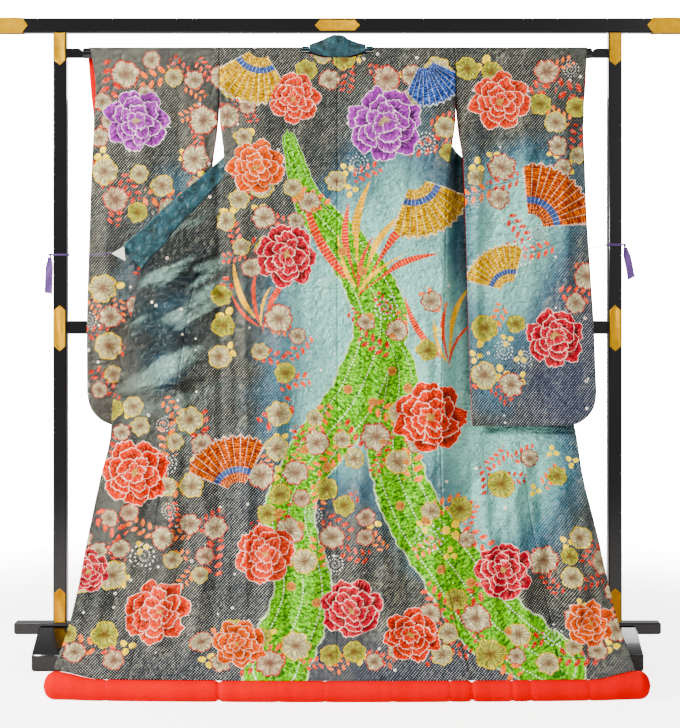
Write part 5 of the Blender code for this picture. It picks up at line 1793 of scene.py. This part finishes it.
def plateRelief(work, low, high, half, lowPoint, highPoint, face, toFrame):
    # One plate on a front face: its field, the raised border, and nails on the border.
    def outline(inset):
        return [toFrame(*p) for p in plateOutline(low, high, half, lowPoint, highPoint, inset)]

    thick, border = plate["thick"], plate["border"]
    outer, inner, step = outline(0.0), outline(border), outline(border + plate["slope"])
    count = len(outer)
    # Each ring: outline, how far out of the face, and its share of the outline's size
    layers = (
        (outer, 0.0, 1.0),
        (outer, thick - plate["bevel"], 1.0),
        (outer, thick, 0.985),
        (inner, thick, 1.0),
        (step, thick - plate["rise"], 1.0),
    )
    rings = []
    for ring, out, shrink in layers:
        middleX = sum(p[0] for p in ring) / count
        middleZ = sum(p[1] for p in ring) / count
        rings.append([work.verts.new((middleX + (x - middleX) * shrink, face + postY - out,
                                      middleZ + (z - middleZ) * shrink)) for x, z in ring])
    bridge(work, rings)
    for x, z in nailPlaces(outline(border * 0.62)):
        addNail(work, x, face + postY - thick, z)


def buildFittings():
    face = -rack["postWide"] / 2 - clear
    point = plate["point"]
    # Each fitting of a post: name, foot, top, and the length of each end's point
    rows = (("foot", 0.1062, 0.202, 0.0, point), ("mid", 0.863, 0.992, point, point),
            ("top", 1.661, 1.752, point, 0.0))
    for name, low, high, lowPoint, highPoint in rows:
        for side, toward in (("left", -1), ("right", 1)):
            work = fittingMesh()
            plateRelief(work, low, high, plate["half"], lowPoint, highPoint, face,
                        lambda along, across: (toward * rack["postX"] + across, along))
            thing = nailed(toMesh(work, f"gilt{name.title()}{side.title()}", [gilt]))
            place(thing, "gilt_fittings", f"post_fitting_{name}_{side}")
    face = -rack["railDepth"] / 2 - clear
    middle = (rack["railLow"] + rack["railHigh"]) / 2
    work = fittingMesh()
    plateRelief(work, -0.063, 0.063, 0.015, point, point, face,
                lambda along, across: (along, middle + across))
    place(nailed(toMesh(work, "giltRailCentre", [gilt])), "gilt_fittings", "rail_fitting_centre")
    for side, toward in (("left", -1), ("right", 1)):
        buildRailCap(side, toward)


def buildRailCap(side, toward):
    # A gilt sleeve over a rail end, its mouth pointed in front and behind, with nails along the mouth.
    start, end = 0.880, rack["railReach"]
    deep = rack["railDepth"] / 2 + clear
    low, high = rack["railLow"] - clear, rack["railHigh"] + clear
    middle = (low + high) / 2
    thick = plate["thick"]
    inside = [(-deep, low), (-deep, middle), (-deep, high), (deep, high), (deep, middle), (deep, low)]
    outside = [(y + math.copysign(thick, y), z + (thick if z > middle else -thick if z < middle else 0))
               for y, z in inside]
    tip = start - 0.016
    mouth = [start, tip, start, start, tip, start]
    work = fittingMesh()
    rings = []
    for xs, ring in (([end] * 6, outside), (mouth, outside), (mouth, inside),
                     ([end - thick + clear] * 6, inside)):
        rings.append([work.verts.new((toward * x, y + postY, z)) for x, (y, z) in zip(xs, ring)])
    bridge(work, rings)
    rounded(work, 0.0007, 2)
    edge = 0.0035
    corners = [(start + edge, low + edge), (tip + edge * 1.4, middle), (start + edge, high - edge)]
    spots = corners + [((a[0] + b[0]) / 2, (a[1] + b[1]) / 2) for a, b in zip(corners, corners[1:])]
    spots += [(x, z) for x in np.linspace(start + 0.018, end - edge, 8) for z in (low + edge, high - edge)]
    spots.append((end - edge, middle))
    for x, z in spots:
        addNail(work, toward * x, postY - deep - thick, z)
    place(nailed(toMesh(work, f"giltCap{side.title()}", [gilt])), "gilt_fittings", f"rail_cap_{side}")


# The purple ties: a two-ply cord from each clip to its post, wound round it, knotted, with a flat tail
tie = {"cord": 0.0014, "ply": 0.00085, "twist": 0.006, "knot": 0.0066, "tape": 0.0015, "wraps": 2}


def plyTube(name, path, around=8):
    # A two-ply cord along a path: two strands wound about it, each a tube.
    path = np.array(path, float)
    steps = np.concatenate([[0], np.cumsum(np.linalg.norm(np.diff(path, axis=0), axis=1))])
    count = max(24, int(steps[-1] / (tie["twist"] / 7)))
    at = np.linspace(0, steps[-1], count)
    line = np.stack([np.interp(at, steps, path[:, i]) for i in range(3)], axis=1)
    along = np.gradient(line, axis=0)
    along /= np.linalg.norm(along, axis=1, keepdims=True)
    side = np.cross(along, (0.13, 0.21, 0.97))
    side /= np.linalg.norm(side, axis=1, keepdims=True)
    up = np.cross(side, along)
    points, faces = [], []
    offset = tie["cord"] - tie["ply"]
    for strand in (0, 1):
        angle = 2 * math.pi * at / tie["twist"] + math.pi * strand
        centre = line + offset * (np.cos(angle)[:, None] * side + np.sin(angle)[:, None] * up)
        turn = roundTurn(around)
        ring = centre[:, None] + tie["ply"] * (np.cos(turn)[None, :, None] * side[:, None]
                                               + np.sin(turn)[None, :, None] * up[:, None])
        base = len(points)
        points += ring.reshape(-1, 3).tolist()
        for r in range(count - 1):
            here, beyond = base + r * around, base + (r + 1) * around
            faces += [[here + k, here + (k + 1) % around, beyond + (k + 1) % around, beyond + k]
                      for k in range(around)]
        faces.append([base + k for k in range(around)])
        faces.append([base + (count - 1) * around + k for k in range(around)])
    points = np.array(points)
    points[:, 1] += postY
    thing = addMesh(name, points, faces, [tieSilk], smoothAngle=50)
    faceOutwards(thing)
    return thing


def buildTies():
    half = rack["postWide"] / 2
    # Each tie: side, its way across, height on the post, the knot's depth, the tail's foot and its lean
    rows = (("left", -1, 1.132, -0.010, 1.026, 0.004), ("right", 1, 1.160, -0.010, 1.062, 0.018))
    clipX, clipZ = 0.6260, 1.136
    for side, toward, postZ, knotY, tailFoot, lean in rows:
        title = side.title()
        depth = leftDepth if side == "left" else rightDepth
        at = np.array([toward * (clipX - 0.04)]), np.array([clipZ])
        clipY = float(depth(*at)[0]) - 0.0025 - 0.0009
        work = bmesh.new()
        outline = [(clipX, clipZ), (clipX - 0.036, clipZ + 0.020), (clipX - 0.040, clipZ - 0.021)]
        extrude(work, [(toward * x, z) for x, z in outline], clipY - 0.0025, clipY + 0.0025, 1)
        rounded(work, 0.0012, 3)
        place(toMesh(work, f"whiteClip{title}", [clipWhite]), "clips", f"clip_{side}")

        wrap = half + tie["cord"] + clear
        corner, rounds = 0.004, []
        turns = tie["wraps"]
        for k in range(4 * turns + 1):
            quarterTurn = k % 4
            middle = math.pi / 2 * quarterTurn + math.pi / 4
            centreX = math.copysign(wrap - corner, math.cos(middle))
            centreY = math.copysign(wrap - corner, math.sin(middle))
            for part in (0, 0.5, 1):
                angle = math.pi / 2 * (quarterTurn + part)
                drop = 0.0029 * (k + part) / 4 - 0.0029
                rounds.append((toward * rack["postX"] + centreX + corner * math.cos(angle),
                               centreY + corner * math.sin(angle), postZ + drop))
        place(plyTube(f"silkWrap{title}", rounds), "purple_ties", f"tie_wrap_{side}")

        reach = toward * (rack["postX"] - wrap - tie["cord"] - 0.0006)
        start = np.array([toward * (clipX + 0.0006), clipY, clipZ])
        end = np.array([reach, -half + 0.010 if side == "left" else -0.004, postZ])
        share = np.linspace(0, 1, 40)[:, None]
        line = start + (end - start) * share + np.array([0, 0, -0.0015]) * np.sin(math.pi * share)
        place(plyTube(f"silkCord{title}", line), "purple_ties", f"tie_cord_{side}")

        knotX = toward * (rack["postX"] + wrap + tie["knot"] + 0.0006)
        t = np.linspace(0, 2 * math.pi, 60)
        reachK = tie["knot"] - 0.0022
        loop = np.stack([knotX + reachK * 0.5 * (np.sin(t) + 1.0 * np.sin(2 * t)),
                         knotY + reachK * 0.55 * np.sin(3 * t),
                         postZ + reachK * 0.5 * (np.cos(t) - 1.0 * np.cos(2 * t))], axis=1)
        knot = plainTube(f"silkKnot{title}", loop, 0.0021)
        place(knot, "purple_ties", f"tie_knot_{side}")
        buildTail(side, toward, knotX, knotY, postZ, tailFoot, lean)


def plainTube(name, loop, radius, around=12):
    # A closed tube round a loop of points.
    points, faces = [], []
    count = len(loop) - 1
    for k in range(count):
        along = loop[(k + 1) % count] - loop[k - 1]
        along /= np.linalg.norm(along)
        side = np.cross(along, (0.13, 0.91, 0.40))
        side /= np.linalg.norm(side)
        up = np.cross(side, along)
        points += [loop[k] + radius * (math.cos(a) * side + math.sin(a) * up)
                   for a in roundTurn(around)]
        here, after = k * around, (k + 1) % count * around
        faces += [[here + s, here + (s + 1) % around, after + (s + 1) % around, after + s]
                  for s in range(around)]
    points = np.array(points)
    points[:, 1] += postY
    thing = addMesh(name, points, faces, [tieSilk])
    faceOutwards(thing)
    return thing


def buildTail(side, toward, knotX, knotY, postZ, tailFoot, lean):
    # A tie's free end: a flat woven tape that hangs from the knot, with a soft wave along it.
    top = postZ - 0.9 * tie["knot"] - clear
    along = np.linspace(0, 1, 50)[:, None]
    z = top + (tailFoot - top) * along
    middle = knotX + toward * (0.0015 + lean * along)
    width = 0.0055 + 0.0050 * ease(along * 3)
    across = np.linspace(-1, 1, 11)[None, :]
    bow = -0.003 * np.sin(math.pi * along) + 0.0008 * np.sin(9 * along + 2 * across)
    tip = 0.010 * (1 if toward > 0 else -0.3) * np.clip((along - 5 / 6) * 6, 0, 1) * (across + 1) / 2
    points = np.stack([middle + width * across, knotY + bow + 0 * across, z + tip], axis=2)
    flat = points[:, :, ::2] * np.array([1, -1])
    thing = shell(f"silkTail{side.title()}", points, flat, (0, -1, 0), tie["tape"], [tieSilk, tieSilk])
    faceOutwards(thing)
    place(thing, "purple_ties", f"tie_tail_{side}")
    size, area = flatSize(points)


buildRack()
buildFittings()
buildTies()
print("rack, fittings and ties made")


# Camera at the photo's place, a pale floor that fades out, a white room, and soft light

stage = {
    "camera": (0.0, -4.83, 1.15), "lens": 88.27, "shiftX": 0.0034, "shiftY": -0.1587,
    "floorRadius": 3.8, "fadeStart": 1.3, "fadeEnd": 3.6, "floorGlow": 2.4,
    "roomSeen": 12.0, "roomLight": 0.42,
}
# Each light: name, place, aim, size, watts
lights = (
    ("key", (-3.8, -2.1, 2.9), (0, 0, 0.9), (0.9, 0.9), 340),
    ("fill", (2.7, -3.4, 1.6), (0, 0, 0.8), (1.8, 1.8), 40),
    ("top", (-0.3, -2.9, 4.1), (0, -0.2, 0.6), (1.6, 1.0), 50),
    ("behind", (0.6, 3.4, 2.6), (0, 0, 0.9), (3.0, 1.6), 70),
)


def softLight(name, place, aim, size, power):
    data = bpy.data.lights.new(name, "AREA")
    data.shape = "RECTANGLE"
    data.size, data.size_y = size
    data.energy = power
    thing = addObject(name, data)
    thing.location = place
    thing.rotation_euler = (Vector(aim) - Vector(place)).to_track_quat("-Z", "Y").to_euler()


def buildStage():
    camera = bpy.data.cameras.new("photoView")
    camera.sensor_width = 36.0
    camera.lens = stage["lens"]
    camera.shift_x, camera.shift_y = stage["shiftX"], stage["shiftY"]
    thing = addObject("photoView", camera)
    thing.location = stage["camera"]
    thing.rotation_euler = (math.radians(90), 0, 0)
    bpy.context.scene.camera = thing
    bpy.context.scene.view_settings.look = "AgX - Medium High Contrast"
    shade = Shade("pale paper")
    x, y = shade.split(shade.objectPlace())[:2]
    away = (x * x + y * y) ** 0.5
    seen = Number(shade, shade.node("ShaderNodeLightPath").outputs["Is Camera Ray"])
    fade = shade.step(stage["fadeEnd"], stage["fadeStart"], away)
    paper = shade.finish(colour("#f6f3f0"), 0.8, Alpha=fade, Specular_IOR_Level=0.1,
                         Emission_Color=colour("#fffdfa"), Emission_Strength=seen * stage["floorGlow"])
    turn, radius = roundTurn(96), stage["floorRadius"]
    points = np.stack([radius * np.cos(turn), radius * np.sin(turn), 0 * turn], axis=1)
    floor = addMesh("paleFloor", points, [list(range(96))], [paper])
    # The room is white to the eye, and lights the cloth softly
    world = bpy.data.worlds.new("softRoom")
    bpy.context.scene.world = world
    world.use_nodes = True
    room = world.node_tree.nodes["Background"]
    room.inputs["Color"].default_value = (1.0, 1.0, 1.0, 1.0)
    seen = world.node_tree.nodes.new("ShaderNodeLightPath").outputs["Is Camera Ray"]
    strength = world.node_tree.nodes.new("ShaderNodeMath")
    strength.operation = "MULTIPLY_ADD"
    strength.inputs[1].default_value = stage["roomSeen"]
    strength.inputs[2].default_value = stage["roomLight"]
    world.node_tree.links.new(seen, strength.inputs[0])
    world.node_tree.links.new(strength.outputs[0], room.inputs["Strength"])
    for light in lights:
        softLight(*light)


buildStage()
print("stage made")
